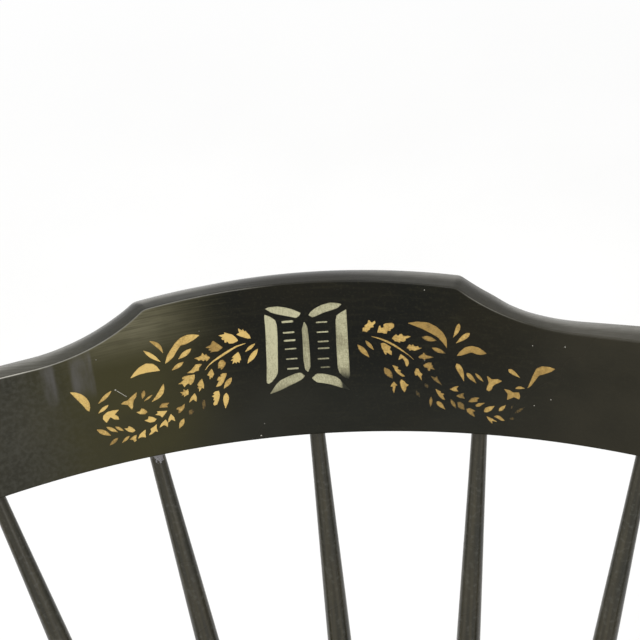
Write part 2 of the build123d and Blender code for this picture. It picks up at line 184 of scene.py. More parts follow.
class Shader(Nodes):
    """One Principled material, the nodes that vary it over the surface, and the colour laid so far."""

    def __init__(self, name, colour, place=None):
        """place is a part's own axis, for grain and lathe marks that follow it."""
        self.material = bpy.data.materials.new(name)
        self.material.use_nodes = True
        super().__init__(self.material.node_tree)
        self.colour = colour
        self.where = self.add("TexCoord", "Object")
        if place:
            first, last = place
            turn = (last - first).to_track_quat("Z", "X").to_euler()
            self.where = self.add("Mapping", "Vector", vector_type="TEXTURE",
                                  inputs={"Vector": self.where, "Location": first, "Rotation": turn})

    def set(self, **inputs):
        """The material, with its shader's own sockets filled and its colour the one laid so far."""
        named = {key.replace("_", " "): value for key, value in inputs.items()}
        self.fill(self.tree.nodes["Principled BSDF"], {"Base Color": self.colour, **named})
        return self.material

    def lay(self, over, *masks):
        """Lays another colour over the one so far, as much as all the masks let through."""
        share = masks[0]
        for mask in masks[1:]:
            share = self.math("MULTIPLY", share, mask)
        inputs = {MIX_FACTOR: share, MIX_FIRST: self.colour, MIX_SECOND: over}
        self.colour = self.add("Mix", MIX_RESULT, inputs, data_type="RGBA")

    def noise(self, scale, detail=3.0, distortion=0.0):
        """Noise of one scale, or of a scale along each axis."""
        where = self.where
        if isinstance(scale, tuple):
            where, scale = self.add("Mapping", "Vector", {"Vector": where, "Scale": scale}), 1.0
        inputs = {"Vector": where, "Scale": scale, "Detail": detail, "Distortion": distortion}
        return self.add("TexNoise", "Fac", inputs)

    def cloud(self, scale, detail, low, high, least=0.0, most=1.0):
        """Noise from least where it is under low to most where it is over high."""
        return self.range(self.noise(scale, detail), low, high, least, most)

    def specks(self, spacing, size, share):
        """A mask of round dots of that size. Of the cells that far apart, about that share holds one."""
        distance = self.add("TexVoronoi", "Distance", {"Vector": self.where, "Scale": 1 / spacing})
        chance = self.add("SeparateColor", "Red", {"Color": distance.node.outputs["Color"]})
        dot = self.range(distance, size / spacing, SPECK_FULL * size / spacing)
        return self.math("MULTIPLY", dot, self.range(chance, 1 - share, 1 - CELL_FULL * share))

    def spot(self, centre, radius):
        """A mask that is 1 near that place and breaks up towards the radius."""
        away = self.add("VectorMath", "Value", {0: self.where, 1: centre}, operation="DISTANCE")
        ragged = self.math("ADD", away, self.math("MULTIPLY", self.noise(CHIP_NOISE), CHIP_RAGGED * radius))
        return self.range(ragged, CHIP_RIM * radius, CHIP_FULL * radius)

    def value(self, name):
        """A number that the mesh holds at each of its points."""
        return self.add("Attribute", "Fac", attribute_name=name)

    def part(self, axis):
        """One coordinate of the place, in metres."""
        return self.add("SeparateXYZ", axis, {"Vector": self.where})

    def facing(self, axis):
        """That part of the surface's normal, 1 where it faces straight along the axis."""
        return self.add("SeparateXYZ", axis, {"Vector": self.add("TexCoord", "Normal")})

    def bump(self, height, depth, under=None):
        """The surface's normal, or that under it, tilted as the height says, up to that depth in metres."""
        inputs = {"Strength": 1.0, "Distance": depth, "Height": height}
        if under:
            inputs["Normal"] = under
        return self.add("Bump", "Normal", inputs)


BLACK = srgb(13, 14, 9)
BLACK_WARM = srgb(27, 24, 13)
BLACK_GREEN = srgb(17, 20, 10)
TURNED_SHEEN_BLACK = srgb(38, 38, 30)  # the turnings, lighter than the crest's black as painted sheen
TURNED_SHEEN_WARM = srgb(52, 48, 35)
RUBBED_THIN = srgb(80, 74, 57)
BRUSHED = srgb(44, 42, 28)
# an olive painted sheen on the crest's left, and its paler top
OLIVE_SHEEN = srgb(58, 55, 31)
PALE_OLIVE_SHEEN = srgb(102, 98, 77)
# painted sheen over the crest's left end
LEFT_END_SHEEN = srgb(60, 58, 48)
# two upright painted reflections on the crest's left
LILAC_REFLECTION = srgb(102, 100, 101)
# a paler tone along the crest's lower left
LOWER_LEFT_PALE = srgb(38, 38, 31)
# dust on the crest's top, also painted sheen where it rounds over to the back
TOP_DUST_AND_SHEEN = srgb(112, 110, 103)
# a browner tone towards the crest's right end and its lower corner
RIGHT_END_BROWN = srgb(46, 43, 32)
# a pale haze for scratches and dust, also painted reflection over the crest's left end
PALE_HAZE_AND_SHEEN = srgb(92, 92, 84)
# pale dust specks, also the painted highlight along the crest's front edge
DUST_AND_EDGE_HIGHLIGHT = srgb(190, 187, 177)
BARE_WOOD = srgb(196, 160, 112)
PALE_WOOD = srgb(226, 208, 172)
CHIPPED = srgb(142, 140, 142)
UNDERCOAT = srgb(74, 42, 28)
GROUND, GROUND_PALE = srgb(176, 172, 158), srgb(206, 203, 192)
NICKEL, NICKEL_DULL = srgb(205, 203, 196), srgb(150, 146, 136)
GOLD_FULL, GOLD_THIN = srgb(217, 185, 112), srgb(162, 131, 72)
SILVER_FULL, SILVER_THIN = srgb(194, 190, 156), srgb(140, 136, 108)
FLOOR_WHITE, FLOOR_DIMMER = srgb(252, 252, 251), srgb(249, 249, 248)

SCRATCH_FINENESS = 7  # how much finer scratches are than the grain
RUB_ROUGHER, CHIP_ROUGHER = 0.15, 0.4  # added to the paint's roughness


def black_paint(name, grain, place=None, tones=None, chips=(), rubbed=None,
                base=BLACK, warm=BLACK_WARM, gloss=0.12):
    """Old black lacquer: olive and brown clouds in it, brush and grain lines, dust and fine scratches.

    grain is how much the pattern is squeezed along each axis. tones is a function that lays more tones
    over that shader's colour, rubbed gives a mask on it, and chips are the places where the paint has
    come off, each with its radius and the colour that shows. base and warm are the paint's two colours.
    """
    paint = Shader(name, base, place)
    streaks = paint.noise(grain, 4, 0.3)
    paint.lay(warm, paint.cloud(14, 4, 0.35, 0.7))
    paint.lay(BLACK_GREEN, paint.cloud(5, 2, 0.45, 0.75, 0, 0.5))
    paint.lay(BRUSHED, paint.range(streaks, 0.5, 0.85, 0, 0.5))
    paint.lay(BRUSHED, paint.cloud(750, 3, 0.5, 0.75, 0, 0.4))
    rough = paint.cloud(9, 3, 0.3, 0.75, 0.2, 0.34)
    if tones:
        tones(paint, streaks)
    if rubbed:
        mask = rubbed(paint)
        paint.lay(UNDERCOAT, mask)
        paint.lay(BARE_WOOD, paint.range(mask, 0.75, 1.0))
        rough = paint.math("ADD", rough, paint.math("MULTIPLY", mask, RUB_ROUGHER))
    paint.lay(PALE_HAZE_AND_SHEEN, paint.cloud(tuple(SCRATCH_FINENESS * g for g in grain), 1, 0.76, 0.8), 0.25)
    specks = paint.specks(0.009, 0.0004, 0.16)
    paint.lay(DUST_AND_EDGE_HIGHLIGHT, specks, 0.5)
    for centre, radius, under in chips:
        mask = paint.spot(centre, radius)
        paint.lay(under, mask)
        rough = paint.math("ADD", rough, paint.math("MULTIPLY", mask, CHIP_ROUGHER))
    lines = paint.bump(streaks, 0.00012)
    ripple = paint.bump(paint.noise(260, 2), 0.00003, lines)
    return paint.set(Roughness=rough, Normal=paint.bump(specks, 0.0002, ripple), Specular_IOR_Level=gloss)


def powder_paint(name, bright, dark, metallic, brush):
    """Metal powder dusted on through a stencil: full in places and thin elsewhere, by each leaf's tone."""
    paint = Shader(name, BLACK_GREEN)
    smudge = paint.cloud(brush, 3, 0.25, 0.75, -0.1, 0.1)
    uneven = paint.cloud(75, 2, 0.3, 0.7, -0.1, 0.1)
    grains = paint.cloud(1400, 3, 0.3, 0.7, -0.12, 0.12)
    rough = paint.math("ADD", paint.math("ADD", smudge, grains), uneven)
    tone = paint.value("tone")
    full = paint.math("ADD", tone, paint.math("MULTIPLY", rough, paint.range(tone, 0.1, 0.7, 0.25, 1.0)))
    paint.lay(dark, paint.range(full, 0.0, 0.6))
    paint.lay(bright, paint.range(full, 0.5, 1.05))
    return paint.set(Metallic=paint.range(full, 0.1, 0.9, 0.1 * metallic, metallic),
                     Roughness=paint.range(grains, -0.1, 0.1, 0.34, 0.5),
                     Normal=paint.bump(paint.noise(2600, 2), 0.00002), Specular_IOR_Level=0.25)


def nick_paint(name):
    """Where the paint is knocked off in a fleck: pale, chalky ground."""
    ground = Shader(name, GROUND)
    ground.lay(GROUND_PALE, ground.noise(900))
    return ground.set(Roughness=0.7, Normal=ground.bump(ground.noise(2600, 2), 0.00003))


def steel(name):
    """Nickelled sheet steel with fine scratches and a duller film in patches."""
    metal = Shader(name, NICKEL)
    film = metal.cloud(180, 4, 0.4, 0.7)
    metal.lay(NICKEL_DULL, film)
    scratched = metal.noise((3000, 200, 3000), 2)
    rough = metal.math("ADD", metal.range(film, 0, 1, 0.2, 0.42), metal.range(scratched, 0.4, 0.8, 0, 0.1))
    return metal.set(Roughness=rough, Normal=metal.bump(scratched, 0.00001), Metallic=1.0)


def wear_front_edge(paint):
    """The seat's front edge and corners, rubbed by legs: reddish undercoat with a little bare wood."""
    near = paint.range(paint.part("Y"), -0.228, -0.258)
    high = paint.range(paint.part("Z"), 0.42, 0.437)
    patchy = paint.cloud(55, 6, 0.46, 0.62)
    return paint.math("MULTIPLY", paint.math("MULTIPLY", near, high), patchy)


def turned_tones(paint, streaks):
    """Paint worn thin in lines along a turned part, with a little dust in the grain."""
    paint.lay(RUBBED_THIN, paint.range(streaks, 0.42, 0.68, 0, 0.4))
    paint.lay(PALE_HAZE_AND_SHEEN, paint.cloud(420, 4, 0.5, 0.75, 0, 0.3))


def crest_tones(paint, _streaks):
    """The tones of the crest: paler and browner towards its right end and along its lower left, painted sheen
    over its left end, and an olive painted sheen and two upright painted reflections on the left.

    The board's own values say where its front face is, and where its front edge carries a painted highlight.
    Places along the crest and heights are in metres, each mask from where it starts to where it is full.
    """
    across, height = paint.part("X"), paint.part("Z")
    on_face, front_edge_highlight = paint.value("face"), paint.value("tone")
    clouds = paint.cloud(30, 4, 0.3, 0.7, 0.6, 1.0)
    fine = paint.cloud(160, 4, 0.3, 0.7, 0.8, 1.0)

    def between(socket, start, full, full_end, end):
        return paint.math("MULTIPLY", paint.range(socket, start, full), paint.range(socket, end, full_end))

    # paler along the lower left, browner at the right end and its lower corner, and painted sheen over the
    # left end
    leftward = paint.range(across, 0.02, -0.02, 0.65, 1.0)
    paint.lay(LOWER_LEFT_PALE, paint.range(height, 0.838, 0.79), leftward, clouds, on_face)
    paint.lay(RIGHT_END_BROWN, paint.range(across, 0.085, 0.16), clouds)
    paint.lay(RIGHT_END_BROWN, paint.range(across, 0.09, 0.17), paint.range(height, 0.8, 0.775), on_face)
    paint.lay(LEFT_END_SHEEN, paint.range(across, -0.075, -0.15), clouds, fine)
    # an olive painted sheen, paler towards the top, with the brush's level strokes in it
    patchy = paint.cloud(22, 3, 0.3, 0.65, 0.6, 1.0)
    paint.lay(OLIVE_SHEEN, between(across, -0.16, -0.12, -0.09, -0.03), patchy, on_face)
    upper = paint.range(height, 0.838, 0.86)
    upper_sheen_place = between(across, -0.13, -0.1, -0.09, -0.045)
    paint.lay(PALE_OLIVE_SHEEN, upper_sheen_place, upper, paint.cloud(60, 4, 0.3, 0.7, 0.6, 1.0), on_face)
    sheen_stroke_place = between(across, -0.145, -0.115, -0.065, -0.03)
    paint.lay(PALE_OLIVE_SHEEN, sheen_stroke_place, upper, paint.cloud((5, 0, 900), 2, 0.4, 0.7, 0, 0.24), on_face)
    paint.lay(BRUSHED, sheen_stroke_place, upper, paint.cloud((38, 0, 900), 4, 0.42, 0.64, 0, 0.42), on_face)
    # two upright painted reflections
    reflection_streaks = paint.cloud((170, 0, 45), 3, 0.3, 0.7, 0.1, 0.5)
    reflection_places = paint.math("MAXIMUM", between(across, -0.139, -0.1355, -0.1325, -0.1295),
                      between(across, -0.1245, -0.1215, -0.1125, -0.111))
    paint.lay(LILAC_REFLECTION, reflection_streaks, reflection_places, between(height, 0.824, 0.835, 0.847, 0.856), on_face)
    # painted reflection: a pale haze over the left end
    paint.lay(PALE_HAZE_AND_SHEEN, paint.range(across, -0.1, -0.16), paint.cloud(420, 5, 0.35, 0.7, 0, 0.22), on_face)
    # dust on the top, with painted sheen where the top rounds over to the back, and brush lines in it
    off_centre = paint.range(paint.math("ABSOLUTE", across, 0), 0.01, 0.085, 0.05, 1.0)
    dust_and_sheen_facing = paint.math("MULTIPLY", paint.range(paint.facing("Y"), 0.15, 0.44, 0.12, 1.0),
                         paint.range(paint.facing("Z"), 0.1, 0.8))
    off_face = paint.math("SUBTRACT", 1, on_face)
    paint.lay(TOP_DUST_AND_SHEEN, off_centre, dust_and_sheen_facing, off_face, fine)
    paint.lay(BRUSHED, paint.cloud((12, 900, 900), 3, 0.45, 0.62, 0, 0.3), off_centre, off_face)
    # painted highlight along the front edge of the top
    paint.lay(DUST_AND_EDGE_HIGHLIGHT, front_edge_highlight, fine)


# ---- shapes of the stencil leaves, in mm

BRIGHT, MIDDLE, DULL, FAINT = 1.0, 0.82, 0.62, 0.26
TIP_WIDTH = 0.36  # how blunt a leaf's ends are before its powder is drawn in
LEAF_STEPS, LEAF_FULLNESS = 10, 0.85
STEM_START, STEM_SWELL, STEM_END, STEM_TAPER = 0.35, 2.2, 0.15, 1.6  # shares of a stem's width
DART_BELLY = 0.17  # how far its sides swell, as a share of the way between its tails
# A bar's half height in shares of its thickness, its ends' in shares of that, and the ends' length in mm.
BAR_HALF, BAR_CORNER, BAR_END = 0.34, 0.6, 0.5


def cut(tone, *numbers):
    """An outline of points, given as x and y in turn, and its tone."""
    return list(zip(numbers[::2], numbers[1::2])), tone


def left_of(points):
    """The direction to the left of a line of points, at each."""
    along = np.gradient(points, axis=0)
    along /= np.linalg.norm(along, axis=1)[:, None]
    return np.stack([-along[:, 1], along[:, 0]], 1)


def spread(spine, widths, tone):
    """An outline each side of a line of points, that far apart, and its tone."""
    spine = np.array(spine, float)
    side = left_of(spine) * np.array(widths)[:, None] / 2
    outline = [*(spine + side), *(spine - side)[::-1]]
    return [tuple(p) for p in outline], tone


def leaf(base, tip, width, tone, bulge=0.0, fullest=0.46):
    """A plain leaf. bulge bows it to the left of its way, as a share of its length.

    fullest is where along it it is widest. Nearer its base, that end is rounder.
    """
    base, tip = np.array(base, float), np.array(tip, float)
    way = tip - base
    left = np.array((-way[1], way[0]))
    power = math.log(0.5) / math.log(fullest)
    spine, widths = [], []
    for i in range(LEAF_STEPS + 1):
        t = i / LEAF_STEPS
        spine.append(base + way * t + left * bulge * math.sin(math.pi * t))
        widths.append(max(width * math.sin(math.pi * t**power) ** LEAF_FULLNESS, min(width, TIP_WIDTH)))
    return spread(spine, widths, tone)


def leaves(tone, *rows):
    """Plain leaves of one tone, each given as its base, its tip, its width and what else it has."""
    return [leaf(row[:2], row[2:4], row[4], tone, *row[5:]) for row in rows]


def stem(points, width, tone):
    """A stalk through the points, thickest near its start and drawn out to nothing."""
    count = len(points) - 1
    shares = [min(1, STEM_START + STEM_SWELL * i / count, STEM_END + STEM_TAPER * (1 - i / count))
              for i in range(count + 1)]
    return spread(points, [max(width * share, TIP_WIDTH) for share in shares], tone)


def dart(point, first, second, tone, barbs=0.3):
    """A small leaf with one point and two tails, and a notch between the tails."""
    p, a, b = (np.array(q, float) for q in (point, first, second))
    notch = p * barbs + (a + b) / 2 * (1 - barbs)
    belly = (a - b) * DART_BELLY
    sides = [p, p * 0.5 + a * 0.5 + belly, a, notch, b, p * 0.5 + b * 0.5 - belly]
    return [tuple(q) for q in sides], tone


def bar(left, right, middle, thick, tone):
    """A short level bar with softened ends."""
    half = BAR_HALF * thick
    corner = BAR_CORNER * half
    edge = [(left, corner), (left + BAR_END, half), (right - BAR_END, half), (right, corner)]
    return [(x, middle - y) for x, y in edge] + [(x, middle + y) for x, y in reversed(edge)], tone


def nick(u, v, size):
    """A small round fleck."""
    turns = [k * math.pi / 3 for k in range(6)]
    return [(u + size * math.cos(turn), v + size * math.sin(turn)) for turn in turns], 1.0


LEFT_SPRAY = [
    stem([(-31.8, 59.6), (-37.1, 58.2), (-42.1, 55.6), (-46.4, 53.2), (-50, 51.1), (-52.9, 48.9),
         (-55, 46.4)], 1.4, BRIGHT),
    # toothed leaves, outwards along the upper side of the stem
    cut(BRIGHT, -28.6, 62.2, -29.2, 64.5, -30.3, 66, -30.9, 67.2, -31.4, 66.6, -32.3, 68.3, -32.9, 67.5,
        -34.7, 69.1, -34.8, 67.6, -34.4, 66.4, -36.1, 65.4, -34.2, 64, -32, 62.9, -30.2, 62.2),
    cut(BRIGHT, -35.4, 61.6, -36.2, 63.4, -38, 65.6, -40.5, 66.8, -42.3, 67.5, -42.3, 66.5, -45.6, 66.1,
        -43.5, 64.6, -44.3, 63.9, -43.4, 62.9, -42.7, 63.2, -42.9, 61.6, -41.9, 61, -41.4, 61.9,
        -40.5, 60.4, -38.4, 60.3, -36.6, 61),
    cut(DULL, -44, 58.7, -45.4, 60.3, -47, 61.8, -48.6, 63.4, -49.6, 62.6, -50.3, 61.1, -53.3, 59.8,
        -51, 59, -52, 58.1, -50.5, 57.4, -51.2, 56.4, -49.3, 56.7, -47, 56.5, -45.2, 57.5),
    cut(MIDDLE, -51.3, 53.6, -52.8, 54.9, -53.3, 56, -54.2, 55.3, -55.2, 57.1, -56, 55.5, -57.5, 54.8,
        -60.1, 54.3, -58.3, 53.3, -57.8, 52.4, -56.4, 52.8, -55.3, 51.8, -54.2, 52.6, -53.7, 51.4,
        -52.5, 52.3),
    cut(MIDDLE, -56.2, 50.2, -57.5, 50.6, -59.7, 50.6, -61.2, 48.9, -62.5, 47.5, -65.1, 46, -61.6, 45.5,
        -60, 46.3, -58.4, 46.5, -58, 48.3, -57, 49.2),
    cut(MIDDLE, -60.9, 44.6, -63, 44.6, -66, 44.5, -67.7, 43.9, -68, 42.8, -66.8, 42.6, -68.6, 41.2,
        -70.5, 40.1, -68.3, 39.8, -67.8, 38.7, -67.4, 37.6, -65.8, 39.2, -64.7, 39.6, -64.2, 38.4,
        -63.4, 38.7, -62, 40.3, -61, 42.5),
    cut(MIDDLE, -65.6, 36.4, -66.8, 35.6, -68, 36.7, -68.3, 35.1, -70.2, 35.1, -69, 33.8, -69.5, 33,
        -68.2, 32.9, -68.5, 31.7, -67, 32.5, -65.8, 32.9, -65.4, 34.2),
    # toothed leaves under it
    cut(BRIGHT, -36.3, 54.9, -38.4, 53.5, -40.2, 51.9, -39.2, 51.6, -41, 50, -39.6, 50.1, -40.3, 47.8,
        -38.7, 48.9, -38.2, 47.9, -37.3, 49, -36.3, 48, -36, 49.6, -35.3, 49.7, -35.3, 51.9, -35.7, 53.6),
    cut(DULL, -44.9, 51.3, -46.3, 51.3, -47.9, 49.2, -48, 47.4, -48.3, 46.2, -46.8, 46.4, -46.7, 45.1,
        -45.4, 46, -44, 47.8, -43.5, 49.3),
    cut(MIDDLE, -51.5, 46.8, -53.3, 44.9, -54.5, 43.1, -53.4, 42.4, -53.4, 40.1, -52.3, 41.5, -52, 40.8,
        -51.2, 42.2, -50.5, 43.2, -50.9, 45),
    cut(MIDDLE, -43.8, 42.8, -46, 43.2, -47.6, 42.2, -47, 41.4, -48.7, 41.2, -49.7, 39.1, -48.6, 38.8,
        -50.8, 35.2, -48, 35.5, -46.2, 37.4, -45, 40, -44.2, 41.4),
    cut(MIDDLE, -57.4, 41.5, -58.8, 40.3, -60.5, 38.2, -59.9, 36.8, -60.7, 36, -59.8, 35.6, -60, 33.5,
        -58.7, 34.9, -58.2, 36, -57.2, 35, -56.7, 37.5, -57, 39.6),
    cut(BRIGHT, -49.3, 32.7, -51.4, 32.6, -52.8, 31.4, -52, 30.7, -53.7, 29.7, -52.5, 28.8, -53.2, 27.3,
        -52.3, 27, -53.6, 25, -53, 23.7, -51.3, 24.3, -50, 27, -49.1, 30),
    cut(DULL, -68.4, 27.8, -70.5, 26.4, -72.5, 26.2, -73.7, 25, -72.4, 24.3, -72.9, 22.1, -71.4, 22.6,
        -70.1, 23.8, -69, 25),
    *leaves(FAINT, (-58.1, 29.3, -58.9, 21.4, 2.6), (-64.6, 23.9, -67.1, 20, 3.2)),
    # plain leaves
    *leaves(BRIGHT, (-26.9, 58.8, -32.6, 54.5, 2.0), (-25.8, 55.5, -32.2, 47.3, 3.0),
            (-45.6, 30.8, -47.2, 21.3, 3.2, 0.0, 0.38), (-60.7, 60.3, -68.2, 55.2, 2.9),
            (-108.8, 35, -114.8, 31.2, 2.1)),
    *leaves(MIDDLE, (-41.6, 39.8, -46.5, 33.7, 2.9), (-65.8, 53, -72.5, 49.1, 2.5),
            (-70.2, 18.5, -73.5, 12.9, 2.6), (-84.9, 36.2, -89.8, 33.2, 1.3), (-106, 43, -113.8, 37, 2.3),
            (-100.6, 13.7, -105.1, 10.3, 1.8), (-117.2, 21.5, -110.4, 16.2, 2.9),
            (-111.9, 21.9, -106.5, 17.4, 2.2), (-107.2, 21, -103.2, 17.4, 1.9)),
    *leaves(DULL, (-88.8, 39.8, -90.5, 34.7, 2.3), (-106.8, 13.9, -112, 10.2, 2.3)),
    cut(DULL, -81.9, 28.8, -80.2, 30.2, -76.5, 29.7, -78.1, 28.1, -77.6, 27, -80.2, 27.2, -82.5, 27.6),
    *leaves(MIDDLE, (-81.7, 68.4, -75.8, 60.3, 2.5, 0.12), (-78.1, 41.8, -85.8, 32, 2.9, 0.12)),
    *leaves(BRIGHT, (-85.7, 63.4, -77.8, 55.2, 2.5, 0.0)),
    # small leaves with two tails
    dart((-62.4, 33.4), (-66.3, 27.7), (-62.1, 27.6), MIDDLE),
    dart((-76.8, 22.8), (-79, 17.3), (-75, 17.7), BRIGHT),
    dart((-80, 19.9), (-84.1, 15.2), (-79.5, 14.8), BRIGHT),
    cut(BRIGHT, -90.5, 11.7, -88.8, 13.9, -89, 15.6, -87.1, 16.5, -85.1, 17.9, -85.5, 15.6, -85.1, 12.8,
        -86.5, 13.5, -87.6, 12.7, -88.7, 12.1),
    cut(BRIGHT, -96.5, 10.8, -95.2, 13.3, -93.6, 14.6, -91.4, 15.8, -92, 13, -92, 10.7, -93.3, 11.2,
        -94.6, 11.4),
    cut(MIDDLE, -101, 11.4, -99.3, 12.7, -98.3, 13.3, -96.6, 13.5, -97.3, 11.3, -97.2, 9.9, -98.6, 9.1,
        -99.1, 10.6),
    cut(BRIGHT, -102.8, 19, -101, 18.6, -100.2, 19.9, -98.5, 18.7, -96.8, 16.3, -98.5, 15.3, -100.8, 16.2),
    cut(MIDDLE, -95, 27.4, -92.9, 27.6, -91.9, 29.2, -90.2, 28.4, -88.8, 26.3, -90.4, 25.1, -93.1, 25.7),
    cut(BRIGHT, -91.5, 21.4, -89.3, 21.9, -88.8, 23.6, -86.6, 22.7, -84.6, 21, -86.2, 19.5, -88.6, 19.4),
    cut(BRIGHT, -85.3, 23.7, -83.7, 24.4, -84.1, 25.8, -81.4, 25.4, -78.3, 25, -79.6, 23.4, -81.6, 21.2,
        -82.8, 22.8),
    cut(MIDDLE, -102.2, 34, -100.6, 35.3, -98.6, 35.5, -97.3, 36.5, -95.2, 38.1, -92.8, 39.5, -93.4, 36.8,
        -95, 34.8, -95.8, 32.7, -95.9, 31.1, -96.9, 29.4, -98, 31.3, -98.8, 32.7, -100.2, 33.2),
    cut(BRIGHT, -103.6, 30.9, -106.8, 31.3, -110, 31, -112.5, 29.3, -113.1, 27.1, -111.4, 24.3,
        -108.9, 27.4, -107, 25.5, -104.4, 24.8, -104.7, 27, -106.3, 28.5),
    # broad blades
    cut(BRIGHT, -127.6, 47.5, -124.6, 46.7, -121.6, 44.8, -119.4, 42, -118.3, 38.6, -118.4, 35.8,
        -119.3, 33.3, -120.6, 34.6, -122, 37.7, -124.6, 42.1),
    cut(BRIGHT, -95.1, 48.3, -92.6, 51.4, -89.6, 54, -85.7, 55.7, -82, 54.9, -80.1, 53, -78.6, 49.9,
        -82, 50, -85.4, 50.1, -90, 49.7),
    cut(0.85, -55.2, 67.7, -58.6, 68.8, -62.1, 68.9, -65.7, 67.6, -68.8, 65, -71.8, 61.2, -74, 58.2,
        -75.7, 53.4, -73, 54.9, -70.7, 56.8, -68, 60.6, -66, 63, -62.9, 63.4, -58.6, 65.3),
]

